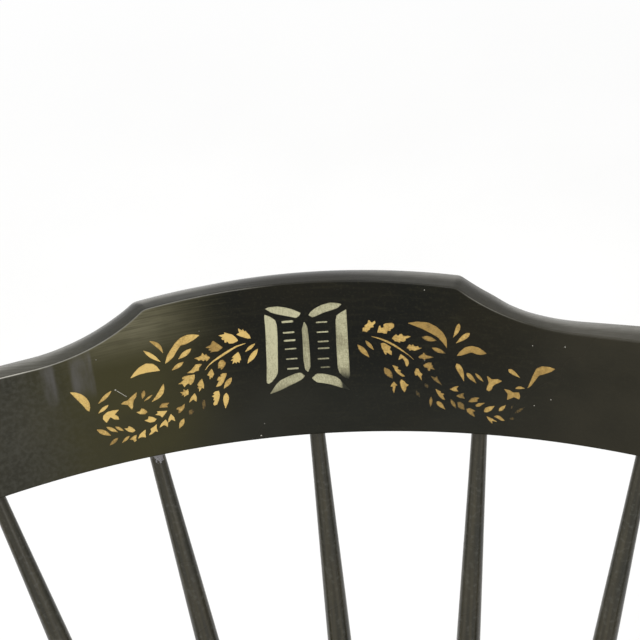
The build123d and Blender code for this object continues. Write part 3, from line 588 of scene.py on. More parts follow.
RIGHT_SPRAY = [
    stem([(35.1, 58.9), (39.3, 57.5), (43.6, 55.4), (47.9, 52.5), (51.4, 49.6), (54.3, 47.1), (56.6, 44.5)],
         1.45, BRIGHT),
    cut(BRIGHT, 30.5, 62, 30.8, 64.2, 31.9, 64.7, 31.8, 65.6, 33.6, 66.7, 34, 68.5, 34.8, 68.8, 35.4, 67.9,
        36, 67.3, 37.8, 68.3, 38.1, 66.9, 36.6, 65.3, 37, 64.3, 35.3, 64, 34.5, 62.7, 33.9, 62.4, 33, 61.4,
        31.6, 61.8),
    cut(BRIGHT, 38.3, 61, 38.7, 62.7, 39.5, 65, 40.3, 65.4, 40.8, 63.9, 41.9, 64.2, 41.9, 65.9, 43.2, 66.6,
        45, 66.8, 46.4, 66.9, 47.8, 66, 47.7, 64.3, 47, 63.4, 45.8, 62.9, 45.6, 61.9, 44, 61.9, 43.5, 60.3,
        42, 60.2, 41, 60.8, 40, 60.8),
    cut(BRIGHT, 45.7, 57.4, 46.8, 59, 47.8, 59.7, 48.4, 60, 49.3, 59.1, 50.2, 60.1, 51.4, 60.3, 52.1, 59,
        53.4, 58.9, 54.2, 59.2, 56.1, 58.6, 55, 57.7, 53.4, 57.2, 53, 55.8, 51.7, 55.2, 50.4, 55.7,
        49.9, 54.6, 48.5, 55.4, 47.3, 55.6, 46.8, 56.2),
    cut(MIDDLE, 53.1, 51.5, 54, 53, 55, 54, 56, 53.2, 56.8, 54, 57.5, 52.9, 58.6, 52.7, 59.4, 53, 60, 51.9,
        61.6, 51.8, 60.2, 50.9, 58.5, 50.2, 57.4, 49.8, 55.9, 50.3, 54.7, 49.8, 54.2, 51),
    cut(DULL, 58.9, 46.1, 60, 47.3, 61.3, 47.9, 62.2, 49.1, 63, 47.9, 64, 47.3, 65.6, 46.9, 67.6, 46.1,
        65, 45.3, 63.3, 45, 62.4, 44.3, 61, 45.2, 59.8, 45.2),
    cut(DULL, 61.2, 41.3, 62.8, 42.6, 64.5, 43.1, 66, 43, 66.2, 41.5, 66.9, 41, 66.5, 40.2, 67.6, 38.4,
        65.3, 38.9, 64.6, 37.5, 63.5, 38.1, 63.4, 39.4, 61.9, 39.8),
    cut(MIDDLE, 66.9, 26.9, 68.9, 25.9, 70.1, 25.2, 69.7, 24.4, 71.7, 24, 70.9, 22.7, 72, 20, 70.3, 20.3,
        68.8, 21.9, 67.6, 24.2),
    cut(BRIGHT, 39.6, 54.7, 41.5, 55, 43.2, 53.9, 45.2, 52.3, 44.4, 51, 45.4, 49.6, 45.1, 47.2, 43.5, 48.1,
        42.5, 49, 42.2, 47.4, 41, 48.5, 40.6, 50.1, 39.9, 51.9),
    cut(0.85, 44.7, 41.3, 46.8, 40.8, 48.2, 40, 47.6, 39, 49.5, 37.9, 48.8, 37, 51.4, 34.3, 49.6, 34,
        47.6, 35.7, 46, 37.7, 45.5, 39.5),
    cut(MIDDLE, 57.4, 39.4, 58.8, 39.2, 59.3, 37.4, 60.8, 35.6, 60, 34.3, 60.1, 31.6, 58.6, 33.9, 58, 35,
        56.7, 34.7, 56.2, 36.8, 56.8, 38.2),
    cut(BRIGHT, 49.8, 48.1, 48.8, 46.3, 48.3, 44.3, 50.6, 45.3, 51.5, 43.5, 51.9, 41.2, 52.6, 40, 54, 42.1,
        53.8, 44.3, 52, 46.4),
    cut(MIDDLE, 44.9, 31.3, 46, 29.9, 46.9, 28.8, 45.8, 28.3, 45.4, 26.4, 44.5, 23.6, 43.7, 25.8, 44, 27.9,
        42.8, 27.9, 43.6, 29.7),
    cut(BRIGHT, 49, 32.7, 50.6, 31.5, 51.7, 29.9, 53, 29.1, 51.6, 27.7, 51.3, 26.2, 50.2, 24.2, 48.8, 26.3,
        48.3, 28.4, 48, 31),
    *leaves(0.55, (40.4, 39.9, 44.4, 33, 3.9)),
    cut(0.42, 64.8, 34.9, 67.2, 34, 68.4, 34.9, 68.9, 32.7, 70.9, 28.9, 68.5, 30.4, 66.4, 32),
    *leaves(FAINT, (61.6, 30.2, 63, 27, 2.6), (56.4, 25.9, 58.4, 21, 2.4), (106.8, 16.4, 108.6, 19.6, 1.6),
            (108.8, 14, 114.6, 18.6, 2.3), (105.8, 10.4, 109.2, 11, 2.2)),
    *leaves(0.95, (31.7, 56.5, 35.8, 50.6, 2.3), (27.3, 54.2, 33, 46.2, 3.2)),
    *leaves(DULL, (61.6, 58.3, 69.5, 56.2, 3.3), (66.6, 51.9, 73.8, 48.6, 2.9), (64.4, 22, 63.6, 15.5, 2.0),
            (74.8, 20.6, 77.4, 15, 2.3)),
    *leaves(MIDDLE, (67.2, 19.1, 71.5, 14.1, 2.9, 0.0, 0.36)),
    cut(0.55, 77.7, 22.8, 79.5, 24.1, 82.4, 25, 81.9, 23.2, 82.7, 21, 81.1, 21.4, 79.7, 21.5),
    cut(0.42, 78.1, 19.1, 80.1, 19.4, 82, 17.7, 82.1, 14.2, 79.8, 14.6, 78.3, 16),
    cut(0.5, 82.6, 15, 85, 15.8, 88, 14, 86.7, 13, 87.5, 9.9, 85.3, 11, 83.3, 12.8),
    cut(DULL, 84, 19.3, 85.8, 21.9, 88, 22.6, 90.6, 22.3, 89.4, 21.1, 89.4, 19.8, 86.4, 19.1),
    cut(0.68, 87.8, 17.6, 89.6, 19.1, 91.8, 19.3, 93.3, 19.4, 91.6, 17.9, 90.1, 16.6, 88.3, 16.5),
    cut(0.78, 92.2, 14.4, 93.1, 16.3, 95.5, 17.5, 98.5, 17.8, 97.5, 16.3, 96.4, 14.7, 94.2, 13.4,
        92.5, 13.4),
    *leaves(MIDDLE, (87.3, 61.3, 79.6, 54.9, 3.0, 0.0, 0.35), (79.2, 42.8, 82.6, 31.9, 3.5, 0.04, 0.3),
            (84.3, 37.3, 89.2, 31.1, 2.8, 0.0, 0.35), (88.8, 37.3, 93, 32.3, 2.0),
            (106.6, 40.9, 112.7, 36.2, 2.8, 0.0, 0.3), (109.8, 29.4, 115, 29.9, 1.9, 0.1),
            (100.4, 14.8, 104.4, 18.8, 2.3, 0.0, 0.4)),
    cut(0.75, 97.4, 11.2, 98.8, 12.1, 100.8, 12, 103.6, 9, 101.7, 8.7, 99.3, 10.1),
    *leaves(MIDDLE, (82, 66.7, 78.3, 58.3, 2.7, 0.05, 0.36)),
    dart((74.5, 26.8), (79.7, 29.1), (79.4, 25.5), MIDDLE, 0.2),
    dart((93.4, 11.3), (99.5, 7.8), (96.6, 6.4), MIDDLE, 0.3),
    cut(MIDDLE, 95, 36.1, 96.3, 35.4, 97.6, 34.2, 100.5, 34.6, 103.2, 33.5, 101.7, 32.3, 99.3, 31, 98, 29.7,
        97.3, 27.7, 95.7, 26.4, 94.2, 27.5, 94.9, 30, 95.7, 31.7, 95.3, 33.7),
    cut(0.66, 103.6, 28.8, 106.8, 28.3, 108.6, 27.1, 111.9, 27.4, 112.4, 24.8, 111.7, 22.8, 108.9, 24,
        107.3, 23, 105, 21.9, 105.6, 25.7),
    cut(0.66, 54.6, 66.6, 60, 67.6, 65.7, 67.1, 70, 64.7, 73.3, 61.2, 75, 57.1, 74.7, 51.6, 72.9, 54.6,
        70, 58.2, 66.4, 60.6, 62.1, 63.1, 57.9, 65),
    cut(0.68, 79.4, 47.3, 81.4, 50.2, 84.4, 52.9, 87.9, 53.8, 91.6, 53, 94, 51.2, 95.7, 49.4, 92.6, 48.4,
        90, 48.7, 87.5, 49.7, 84.4, 48.4, 81.6, 47.4),
    cut(0.72, 131.6, 43.4, 128.6, 44.4, 124.3, 44.4, 121.4, 42.6, 119.5, 38.6, 117.8, 34.3, 116.2, 29.9,
        118.6, 32, 120.8, 35.3, 122.9, 38.5, 126.4, 39.9, 129.6, 41.5),
]

SILVER_PANEL = [
    # the frame: its left and right sides and the upright in the middle
    cut(0.95, -20.2, 75.6, -17.1, 74, -14.7, 71.7, -14.1, 68.6, -14.6, 60.4, -15.4, 52.1, -16.6, 40,
        -17.9, 37.5, -20.4, 34.6, -22.3, 33.5, -23.4, 34.3, -22.1, 45.7, -20.5, 66.4),
    cut(0.74, 23.2, 75.5, 20.4, 74, 17.8, 72.2, 17, 69.3, 16.1, 55.7, 15.5, 40.7, 16.3, 37.1, 18.6, 34.5,
        20.8, 33.3, 21.8, 35.7, 22.4, 54.3, 23.2, 73.6),
    cut(0.7, 0.4, 69.7, 1.8, 66.4, 1.9, 60, 1.6, 50, 1.1, 42.1, -0.5, 38.8, -2, 40.7, -2.3, 46.4,
        -1.6, 57.9, -1.3, 65),
    # and its top and bottom, each in two halves
    cut(1.0, -19.4, 78.8, -17.5, 79.6, -12.9, 79.7, -8.6, 78.7, -5, 77.3, -0.8, 74.8, -2, 73, -3.6, 72,
        -6.4, 72.9, -13.6, 75.1, -16.4, 76.3),
    cut(0.72, 21.1, 78.7, 18.6, 79.5, 15, 79.9, 10.7, 78.9, 7.1, 77.2, 4.3, 75.1, 3, 73.2, 4.9, 71.7,
        7.1, 72.4, 10.7, 74, 18.6, 76.3),
    cut(0.82, -2.4, 36.8, -4.3, 38.8, -7.1, 38.7, -11.4, 37.1, -15.7, 35.2, -18.2, 33, -20.4, 30,
        -22.5, 27, -15.7, 29.2, -11.4, 31.3, -7.1, 33.1, -3.9, 34.9),
    cut(0.82, 1, 35, 3.9, 37.6, 7.1, 37.5, 10.7, 36.5, 14.3, 35.1, 16.4, 33, 18.6, 29.7, 21.1, 26.3,
        16.4, 28.1, 11.4, 30.3, 7.1, 31.5, 3.6, 32.2),
    # the slats in its left half and its right half
    *[bar(-11.5, -5.3, *row) for row in (
        (70.2, 2.0, 0.9), (63.7, 1.6, 0.8), (58.9, 1.7, 0.85),
        (53.8, 1.3, 0.8), (47.7, 1.3, 0.7), (41.7, 1.6, 0.75))],
    *[bar(*row) for row in (
        (6.5, 12.6, 68.6, 1.3, 0.8), (6.3, 12.6, 62.7, 1.3, 0.85), (6.3, 12.3, 57.0, 1.5, 0.65),
        (6.0, 12.3, 52.9, 1.4, 0.75), (5.3, 11.6, 46.6, 1.4, 0.75), (6.4, 11.6, 41.3, 1.5, 0.5))],
]

NICKS = [
    *[nick(*row) for row in (
        (-30, 1.6, 0.4), (128.6, 24.6, 0.28), (119.6, 20, 0.25), (137, 57, 0.28), (65, 86, 0.3),
        (120, 56, 0.25), (-103.7, 43.2, 0.4))],
    leaf((-103.2, 42.6), (-98.5, 37.8), 0.22, BRIGHT),
]

# ---- pieces and surfaces

RAY_START, RAY_START_TURNED = 8.0, 60.0  # mm off the crest's face, and off a turned part's axis
FILL_INSIDE, FILL_MERGE = 1, 1e-4  # triangles inside the outline only, and how near points become one (mm)


def make_piece(name, verts, faces, material, tones):
    """A mesh piece that rides on the chair, with a tone at each of its points."""
    mesh = bpy.data.meshes.new(name)
    mesh.from_pydata(verts, [], faces)
    mesh.update()
    mesh.attributes.new("tone", "FLOAT", "POINT").data.foreach_set("value", tones)
    mesh.materials.append(material)
    piece = bpy.data.objects.new(name, mesh)
    bpy.context.scene.collection.objects.link(piece)
    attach(piece, "root")
    return piece


def smooth(piece):
    """Shades the piece smooth."""
    piece.data.polygons.foreach_set("use_smooth", [True] * len(piece.data.polygons))


def surface_of(mesh):
    """A mesh on which places can be found."""
    return BVHTree.FromPolygons([v.co for v in mesh.vertices], [p.vertices for p in mesh.polygons])


def fill_outline(outline, step, margin=0.0):
    """Points and triangles that fill a closed outline evenly, and each point's number if it is on it."""
    points = [Vector(p) for p in outline]
    count = len(points)
    rim = np.array(outline)
    low = [min(p[k] for p in points) for k in (0, 1)]
    high = [max(p[k] for p in points) for k in (0, 1)]
    inner = [Vector((u, v)) for u in np.arange(low[0] + step / 2, high[0], step)
             for v in np.arange(low[1] + step / 2, high[1], step)
             if not margin or np.hypot(*(rim - (u, v)).T).min() > margin]
    verts, _, faces, origins, *_ = delaunay_2d_cdt(points + inner, [], [list(range(count))],
                                                  FILL_INSIDE, FILL_MERGE)
    used = sorted({i for f in faces for i in f})
    number = {old: new for new, old in enumerate(used)}
    on_rim = [min(origins[i]) if origins[i] and min(origins[i]) < count else None for i in used]
    return [verts[i] for i in used], [[number[i] for i in f] for f in faces], on_rim


# ---- the crest rail, crowned along its top

CREST_HEIGHT, CREST_THICK, CREST_END_ARC = 91.7, 20.0, 276.0
SHOULDER_X, ARCH_RISE, SHOULDER_ROUND = 81.5, 5.2, 8.0
SWEEP_RUN, SWEEP_DROP, EAR_FLARE_R = 60.0, 22.0, 1080.0
EAR_TOP_ROUND, EAR_BOTTOM_ROUND = 22.0, 10.0
FRONT_ROUND = 1.2
CROWN_START, CROWN_R = 6.0, 30.0  # where the top starts to fall to the back, and how fast
CROWN_ROWS = (6.0, 8.0, 10.5, 13.5, 17.0)
CROWN_BACK_ROUND, BACK_ROUND = 4.2, 6.0
SIDE_FROM, SIDE_ROWS = 3.5, 5  # the rows of the plain sides, from that depth
FINE_STEP, LEAST_STEPS = 0.25, 8  # mm between a line's points before it is thinned, and its fewest steps
FACE_STEP, FACE_MARGIN = 5.0, 2.0  # mm between the inner points of the faces, and to their rim
# Where the hand-shaped board departs from its even form, in mm at places along its face.
BACK_DROP_AT = (-170, -140, -118, -84, -60, -30, 0, 30, 60, 84, 96, 104, 112, 125, 140, 152, 170, 220)
BACK_DROP = (0, -0.5, -0.2, 1.5, 1, 0.5, 0.2, -0.1, -0.6, -1.1, -0.7, 1.1, 1.6, 0.9, -0.2, -0.8, -1.9, 0)
LEFT_SHOULDER_SHIFT, LEFT_SHOULDER_FROM, LEFT_SHOULDER_TO = 6.2, -145.0, -50.0
LEFT_SHOULDER_FADE = 20.0  # the height over which the shift grows to its full size
SHOULDER_LEAN, SHOULDER_FULLNESS = 1.3, 0.8  # powers that shape the shift along the shoulder
# How much painted highlight lies along the front edge of the top, and the row of its round.
EDGE_HIGHLIGHT_AT = (-175, -150, -128, -103, -85, -60, -30, -12, 80, 90, 104, 118)
EDGE_HIGHLIGHT = (1.2, 0.95, 0.45, 0.38, 0.28, 0.3, 0.22, 0.0, 0.0, 0.3, 0.15, 0.0)
EDGE_ROW = 2
LOW_EDGE_REACH = 30.0
LOW_EDGE_DROP_AT = (-250, -190, 0, 190, 250)
LOW_EDGE_DROP = (1.35, 3.35, 1.35, 0.45, 1.35)


def circle_arc(start, end, radius, inward, step=FINE_STEP):
    """Points of a circle's arc between two points, bowed in to the left of its way or out to the right."""
    start, end = np.array(start, float), np.array(end, float)
    way = end - start
    span = np.linalg.norm(way)
    sag = radius - math.sqrt(radius**2 - span**2 / 4)
    bow = np.array((-way[1], way[0])) / span * (1 if inward else -1)
    centre = (start + end) / 2 - bow * (radius - sag)
    first, last = (math.atan2(*(p - centre)[::-1]) for p in (start, end))
    turn = (last - first + math.pi) % (2 * math.pi) - math.pi
    count = max(LEAST_STEPS, round(span / step))
    angles = first + turn * np.arange(count + 1) / count
    return centre + radius * np.stack([np.cos(angles), np.sin(angles)], 1)


def straight(start, end):
    """Points of a straight line."""
    start, end = np.array(start, float), np.array(end, float)
    count = max(LEAST_STEPS, round(np.linalg.norm(end - start) / FINE_STEP))
    return start + (end - start) * (np.arange(count + 1) / count)[:, None]


def round_corner(before, after, radius, step):
    """The two lines cut back to the rolling circle that touches both, and the arc between them."""
    first, second = (line + left_of(line) * radius for line in (before, after))
    gap = np.linalg.norm(first[:, None] - second[None], axis=2)
    i, j = np.unravel_index(gap.argmin(), gap.shape)
    return before[: i + 1], circle_arc(before[i], after[j], radius, False, step), after[j:]


def thinned(line, step):
    """About one point of the line every step, with both its ends."""
    away = np.concatenate([[0], np.cumsum(np.linalg.norm(np.diff(line, axis=0), axis=1))])
    count = max(2, round(away[-1] / step))
    even = np.linspace(0, away[-1], count + 1)
    return np.stack([np.interp(even, away, line[:, k]) for k in (0, 1)], 1)


def crest_outline():
    """The outline of the crest's front face and how much of the crown each point of it takes."""
    half = CREST_BEND_R * math.sin(CREST_END_ARC / CREST_BEND_R)
    shoulder = np.array((SHOULDER_X, CREST_HEIGHT - ARCH_RISE))
    valley = shoulder + np.array((SWEEP_RUN, -SWEEP_DROP))
    ear_z = valley[1] + EAR_FLARE_R - math.sqrt(EAR_FLARE_R**2 - (half - valley[0]) ** 2)
    bottom = circle_arc((0, 0), (half, crest_bottom(half)), BOTTOM_BOW_R, True)
    end = straight((half, crest_bottom(half)), (half, ear_z))
    flare = circle_arc((half, ear_z), valley, EAR_FLARE_R, True)
    sweep = circle_arc(valley, shoulder, (SWEEP_RUN**2 + SWEEP_DROP**2) / (2 * SWEEP_DROP), True)
    arch = circle_arc(shoulder, (0, CREST_HEIGHT), (SHOULDER_X**2 + ARCH_RISE**2) / (2 * ARCH_RISE), False)
    # the last number of each is how far apart its points are (mm)
    bottom, low_ear, end = round_corner(bottom, end, EAR_BOTTOM_ROUND, 1.2)
    end, top_ear, flare = round_corner(end, flare, EAR_TOP_ROUND, 1.6)
    sweep, corner, arch = round_corner(sweep, arch, SHOULDER_ROUND, 0.5)
    points, crown = [], []
    # each stretch, and the share of the crown at its start and its end
    runs = [(thinned(bottom, 4), 0, 0), (low_ear, 0, 0), (thinned(end, 4), 0, 0), (top_ear, 0, 1),
            (thinned(flare, 4), 1, 1), (thinned(sweep, 2.5), 1, 1), (corner, 1, 1), (thinned(arch, 3), 1, 1)]
    for line, low, high in runs:
        for k, point in enumerate(line[:-1]):
            points.append(point)
            crown.append(low + (high - low) * k / (len(line) - 1))
    points.append(np.array((0.0, CREST_HEIGHT)))
    crown.append(1.0)
    mirrored = [np.array((-x, z)) for x, z in points[-2:0:-1]]
    return np.array(points + mirrored), np.array(crown + crown[-2:0:-1])


def crest_rings():
    """Pairs of inset and depth from the front face to the back, for the crowned top and for the rest."""
    front = [(FRONT_ROUND * (1 - math.sin(a)), FRONT_ROUND * (1 - math.cos(a)))
             for a in np.radians((0, 25, 50, 70, 90))]
    top = front + [((t - CROWN_START) ** 2 / (2 * CROWN_R), t) for t in CROWN_ROWS]
    inset, depth = top[-1]
    slope = math.atan((depth - CROWN_START) / CROWN_R)
    middle = (inset + CROWN_BACK_ROUND * math.cos(slope), depth - CROWN_BACK_ROUND * math.sin(slope))
    top += [(middle[0] - CROWN_BACK_ROUND * math.cos(a), middle[1] + CROWN_BACK_ROUND * math.sin(a))
            for a in np.radians((30, 45, 60, 75, 90))]
    flat_end = CREST_THICK - BACK_ROUND
    rest = front + [(0, t) for t in np.linspace(SIDE_FROM, flat_end, SIDE_ROWS)]
    rest += [(BACK_ROUND * (1 - math.cos(a)), flat_end + BACK_ROUND * math.sin(a))
             for a in np.radians((18, 36, 54, 72, 90))]
    return np.array(top), np.array(rest)


def by_hand(x, z, depth):
    """A point of the even board moved to where the maker's spokeshave left it."""
    if z > LOW_EDGE_REACH:
        z -= float(np.interp(x, BACK_DROP_AT, BACK_DROP)) * (depth / CREST_THICK) ** 2
    if LEFT_SHOULDER_FROM < x < LEFT_SHOULDER_TO and z > LOW_EDGE_REACH:
        share = (x - LEFT_SHOULDER_FROM) / (LEFT_SHOULDER_TO - LEFT_SHOULDER_FROM)
        high = min(1.0, (z - LOW_EDGE_REACH) / LEFT_SHOULDER_FADE)
        swell = math.sin(math.pi * share**SHOULDER_LEAN) ** SHOULDER_FULLNESS
        x -= LEFT_SHOULDER_SHIFT * high * swell * depth / CREST_THICK
    low = min(1.0, max(0.0, 1 - z / LOW_EDGE_REACH) ** 2)
    drop = float(np.interp(x, LOW_EDGE_DROP_AT, LOW_EDGE_DROP))
    return crest_point(CREST_BEND_R * math.asin(x / CREST_BEND_R), z - drop * low, depth)


def make_crest_board(material):
    """The bent board with its faces, eased edges and a top that falls away to the back."""
    outline, crown = crest_outline()
    closed = np.concatenate([outline[-1:], outline, outline[:1]])
    inward = left_of(closed)[1:-1]
    count = len(outline)
    verts, faces, rims, edge_highlight_tones, on_face = [], [], [], [], []
    for row, ((top_inset, top_depth), (rest_inset, rest_depth)) in enumerate(zip(*crest_rings())):
        inset = top_inset * crown + rest_inset * (1 - crown)
        depth = top_depth * crown + rest_depth * (1 - crown)
        ring = outline + inward * inset[:, None]
        rims.append((ring, depth))
        verts += [by_hand(x, z, d) for (x, z), d in zip(ring, depth)]
        # the painted highlight on the front edge, in one row of its round
        edge_highlight_tones += list(np.interp(ring[:, 0], EDGE_HIGHLIGHT_AT, EDGE_HIGHLIGHT) * crown * (row == EDGE_ROW))
        on_face += [float(row < EDGE_ROW)] * count
    for row in range(len(rims) - 1):
        for k in range(count):
            a, b = row * count + k, row * count + (k + 1) % count
            faces.append([a, a + count, b + count, b])
    for (ring, depth), first, flipped in ((rims[0], 0, False), (rims[-1], (len(rims) - 1) * count, True)):
        points, triangles, on_rim = fill_outline([tuple(p) for p in ring], FACE_STEP, FACE_MARGIN)
        place = {}
        for i, (x, z) in enumerate(points):
            if on_rim[i] is not None:
                place[i] = first + on_rim[i]
            else:
                place[i] = len(verts)
                verts.append(by_hand(x, z, float(depth[0])))
                edge_highlight_tones.append(0.0)
                on_face.append(0.0 if flipped else 1.0)
        faces += [[place[i] for i in (reversed(tri) if flipped else tri)] for tri in triangles]
    board = make_piece("crest_board", verts, faces, material, edge_highlight_tones)
    board.data.attributes.new("face", "FLOAT", "POINT").data.foreach_set("value", on_face)
    smooth(board)
    board.modifiers.new("even_normals", "WEIGHTED_NORMAL")
    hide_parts("crest_rail")
    return board


# ---- films of paint laid on the surfaces

FILM_PROUD = 0.07 * MM
FILM_SUNK = 0.05 * MM
FILM_STEP = 1.2  # mm between the inner points of a leaf
SHEET_PLACE = (0.27, -0.63)  # how far the stencil sheet was laid from its marks, in mm
CORNER_CUT = 0.1  # how much of each side its rounded corners take
RIM_FAINT, RIM_DULL, RIM_FULL = 0.2, 0.55, 0.85  # how much of its tone is left at a leaf's rim
RING_STEPS, RING_ROW, RING_TONE = 56, 0.8, 0.85  # points round a ring, mm between its rows, and its tone
# The gold rings, each from one distance to another in mm: on a leg up from its stretcher and down from its
# top end, on a post up from the seat, and on a stretcher to each side of its middle.
LEG_LOW_RINGS = ((57.6, 64.4),)
LEG_TOP_RINGS = ((-49.2, -44.8), (-38.2, -33.8))
POST_RINGS = ((43.2, 46.8), (54.2, 57.8), (145.8, 151.2))
SIDE_RINGS = ((-39.6, -36.4), (36.4, 39.6))
CENTRE_RINGS = ((-5.5, 5.5),)


def drawn_in(outline, amount):
    """The outline moved in by that much all round. Its tips move no further, so they stay long."""
    ring = np.array([outline[-1], *outline, outline[0]])
    way = np.diff(ring, axis=0)
    way /= np.linalg.norm(way, axis=1)[:, None]
    turn = (ring[1:-1, 0] * ring[2:, 1] - ring[2:, 0] * ring[1:-1, 1]).sum()
    normals = np.stack([-way[:, 1], way[:, 0]], 1) * math.copysign(1, turn)
    both = normals[:-1] + normals[1:]
    return [tuple(p) for p in ring[1:-1] + amount * both / np.linalg.norm(both, axis=1)[:, None]]


def rounded(outline):
    """The outline with its corners cut, as a brush through a stencil leaves them."""
    near, far = 1 - CORNER_CUT, CORNER_CUT
    corners = []
    for (x, y), (p, q) in zip(outline, outline[1:] + outline[:1]):
        corners += [(near * x + far * p, near * y + far * q), (far * x + near * p, far * y + near * q)]
    return corners


def stencil(name, shapes, material, board, inset, mist=lambda u, v: 1.0):
    """The shapes as one thin closed film on the front face of the crest rail.

    inset is how far the powder stays inside the outlines, and mist thins it from place to place.
    """
    surface = surface_of(board.data)
    verts, faces, tones = [], [], []
    for outline, tone in shapes:
        points, triangles, _ = fill_outline(rounded(drawn_in(outline, inset)), FILM_STEP)
        count, start = len(points), len(verts)
        edges = [edge for tri in triangles for edge in zip(tri, tri[1:] + tri[:1])]
        known = set(edges)
        rim = [(a, b) for a, b in edges if (b, a) not in known]
        on_rim = {a for a, _ in rim}
        for lift in (-FILM_PROUD, FILM_SUNK):
            for u, v in points:
                u, v = u + SHEET_PLACE[0], v + SHEET_PLACE[1]
                inward = crest_inward(u)
                hit = surface.ray_cast(crest_point(u, v) - inward * RAY_START * MM, inward)[0]
                verts.append(hit + inward * lift)
        soft = RIM_FAINT if tone <= FAINT else RIM_DULL if tone <= DULL else RIM_FULL
        tones += [tone * (soft if i in on_rim else 1.0) * mist(*points[i]) for i in range(count)] * 2
        faces += [[start + i for i in tri] for tri in triangles]
        faces += [[start + count + i for i in reversed(tri)] for tri in triangles]
        faces += [[start + b, start + a, start + count + a, start + count + b] for a, b in rim]
    make_piece(name, verts, faces, material, tones)


def gold_rings(part, axis, material):
    """Bands of gold paint round a turned part."""
    first, last = axis
    way = (last - first).normalized()
    across = way.orthogonal().normalized()
    upright = way.cross(across)
    surface = surface_of(nodes[part].data)
    verts, faces = [], []
    for start, end in ring_bands(part, (last - first).length / MM):
        rows = max(2, math.ceil((end - start) / RING_ROW)) + 1
        base = len(verts)
        for lift in (FILM_PROUD, -FILM_SUNK):
            for row in range(rows):
                middle = first + way * (start + (end - start) * row / (rows - 1)) * MM
                for k in range(RING_STEPS):
                    angle = 2 * math.pi * k / RING_STEPS
                    out = across * math.cos(angle) + upright * math.sin(angle)
                    hit = surface.ray_cast(middle + out * RAY_START_TURNED * MM, -out)[0]
                    verts.append(hit + out * lift)

        def at(layer, row, k):
            return base + (layer * rows + row) * RING_STEPS + k % RING_STEPS

        top = rows - 1
        for k in range(RING_STEPS):
            for row in range(top):
                faces.append([at(0, row, k), at(0, row, k + 1), at(0, row + 1, k + 1), at(0, row + 1, k)])
                faces.append([at(1, row, k), at(1, row + 1, k), at(1, row + 1, k + 1), at(1, row, k + 1)])
            faces.append([at(0, 0, k), at(1, 0, k), at(1, 0, k + 1), at(0, 0, k + 1)])
            faces.append([at(0, top, k), at(0, top, k + 1), at(1, top, k + 1), at(1, top, k)])
    smooth(make_piece(f"gold_rings_{part}", verts, faces, material, [RING_TONE] * len(verts)))


def ring_bands(part, length):
    """Where the gold rings of a turned part are, in mm along its axis."""
    if part.startswith("leg"):
        runs = [(length * STRETCHER_Z / LEG_TOP_Z, LEG_LOW_RINGS), (length, LEG_TOP_RINGS)]
    elif part.startswith("post"):
        runs = [(0, POST_RINGS)]
    else:
        runs = [(length / 2, SIDE_RINGS if part.startswith("side") else CENTRE_RINGS)]
    return [(origin + start, origin + end) for origin, rings in runs for start, end in rings]


# ---- dress the chair

# Where a spindle's paint has come off: forward, to the right and along from its top end, how far (m), and
# what shows.
SPINDLE_CHIPS = {
    "spindle_1": [((0.003, -0.0035, -0.002), 0.0035, PALE_WOOD)],
    "spindle_2": [((0.0035, -0.003, -0.002), 0.0035, BARE_WOOD), ((0.004, 0.001, -0.0045), 0.0058, CHIPPED)],
}
LEFT_INSET, RIGHT_INSET, SILVER_INSET = 0.07, 0.14, 0.04  # mm the powder stays inside its outlines
RIGHT_SPRAY_STRENGTH = 0.78  # its powder was dusted on more thinly
# Right of each place: a height, the run above it over which silver grows by all of it, and its share there.
SILVER_MIST = ((-math.inf, 25, 11, 0.3), (16.4, 34, 8, 0.1))
LEAST_SILVER = 0.05
# How much each paint's pattern is squeezed along x, y and z. A turned part's z is its own axis.
CREST_GRAIN, SEAT_GRAIN, PEG_GRAIN = (25, 420, 420), (20, 300, 300), (200, 200, 200)
TURNED_GRAIN, TURNED_GLOSS = (300, 300, 9), 0.3


def silver_mist(u, v):
    """The silver thins out towards the panel's lower edge, and higher up at its right."""
    shares = [share + (v - height) / run for place, height, run, share in SILVER_MIST if u > place]
    return max(LEAST_SILVER, min(1.0, *shares))


gold = powder_paint("gold_powder", GOLD_FULL, GOLD_THIN, metallic=0.45, brush=420)
silver = powder_paint("silver_powder", SILVER_FULL, SILVER_THIN, metallic=0.35, brush=(1500, 1500, 60))
paint_of = {
    "crest_rail": black_paint("crest_paint", CREST_GRAIN, tones=crest_tones),
    "seat": black_paint("seat_paint", SEAT_GRAIN, rubbed=wear_front_edge),
}
peg_paint = black_paint("peg_paint", PEG_GRAIN)
glide_steel = steel("glide_steel")
axes = turned_axes()
for node_name, node in nodes.items():
    if node_name in axes:
        first, last = axes[node_name]
        top = (last - first).length
        chips = [((x, y, top + z), radius, under)
                 for (x, y, z), radius, under in SPINDLE_CHIPS.get(node_name, ())]
        # the turnings' paint is lighter than the crest's, as painted sheen
        material = black_paint(f"paint_{node_name}", TURNED_GRAIN, axes[node_name], turned_tones, chips,
                               base=TURNED_SHEEN_BLACK, warm=TURNED_SHEEN_WARM, gloss=TURNED_GLOSS)
    elif node_name.startswith("glide"):
        material = glide_steel
    else:
        material = paint_of.get(node_name, peg_paint)
    node.data.materials.clear()
    node.data.materials.append(material)

crest_board = make_crest_board(paint_of["crest_rail"])
stencil("stencil_spray_left", LEFT_SPRAY, gold, crest_board, LEFT_INSET)
stencil("stencil_spray_right", RIGHT_SPRAY, gold, crest_board, RIGHT_INSET, lambda u, v: RIGHT_SPRAY_STRENGTH)
stencil("stencil_silver_panel", SILVER_PANEL, silver, crest_board, SILVER_INSET, silver_mist)
stencil("crest_nicks", NICKS, nick_paint("nick_paint"), crest_board, 0.0)
for part, axis in axes.items():
    if not part.startswith("spindle"):
        gold_rings(part, axis, gold)

# ---- floor, light and camera

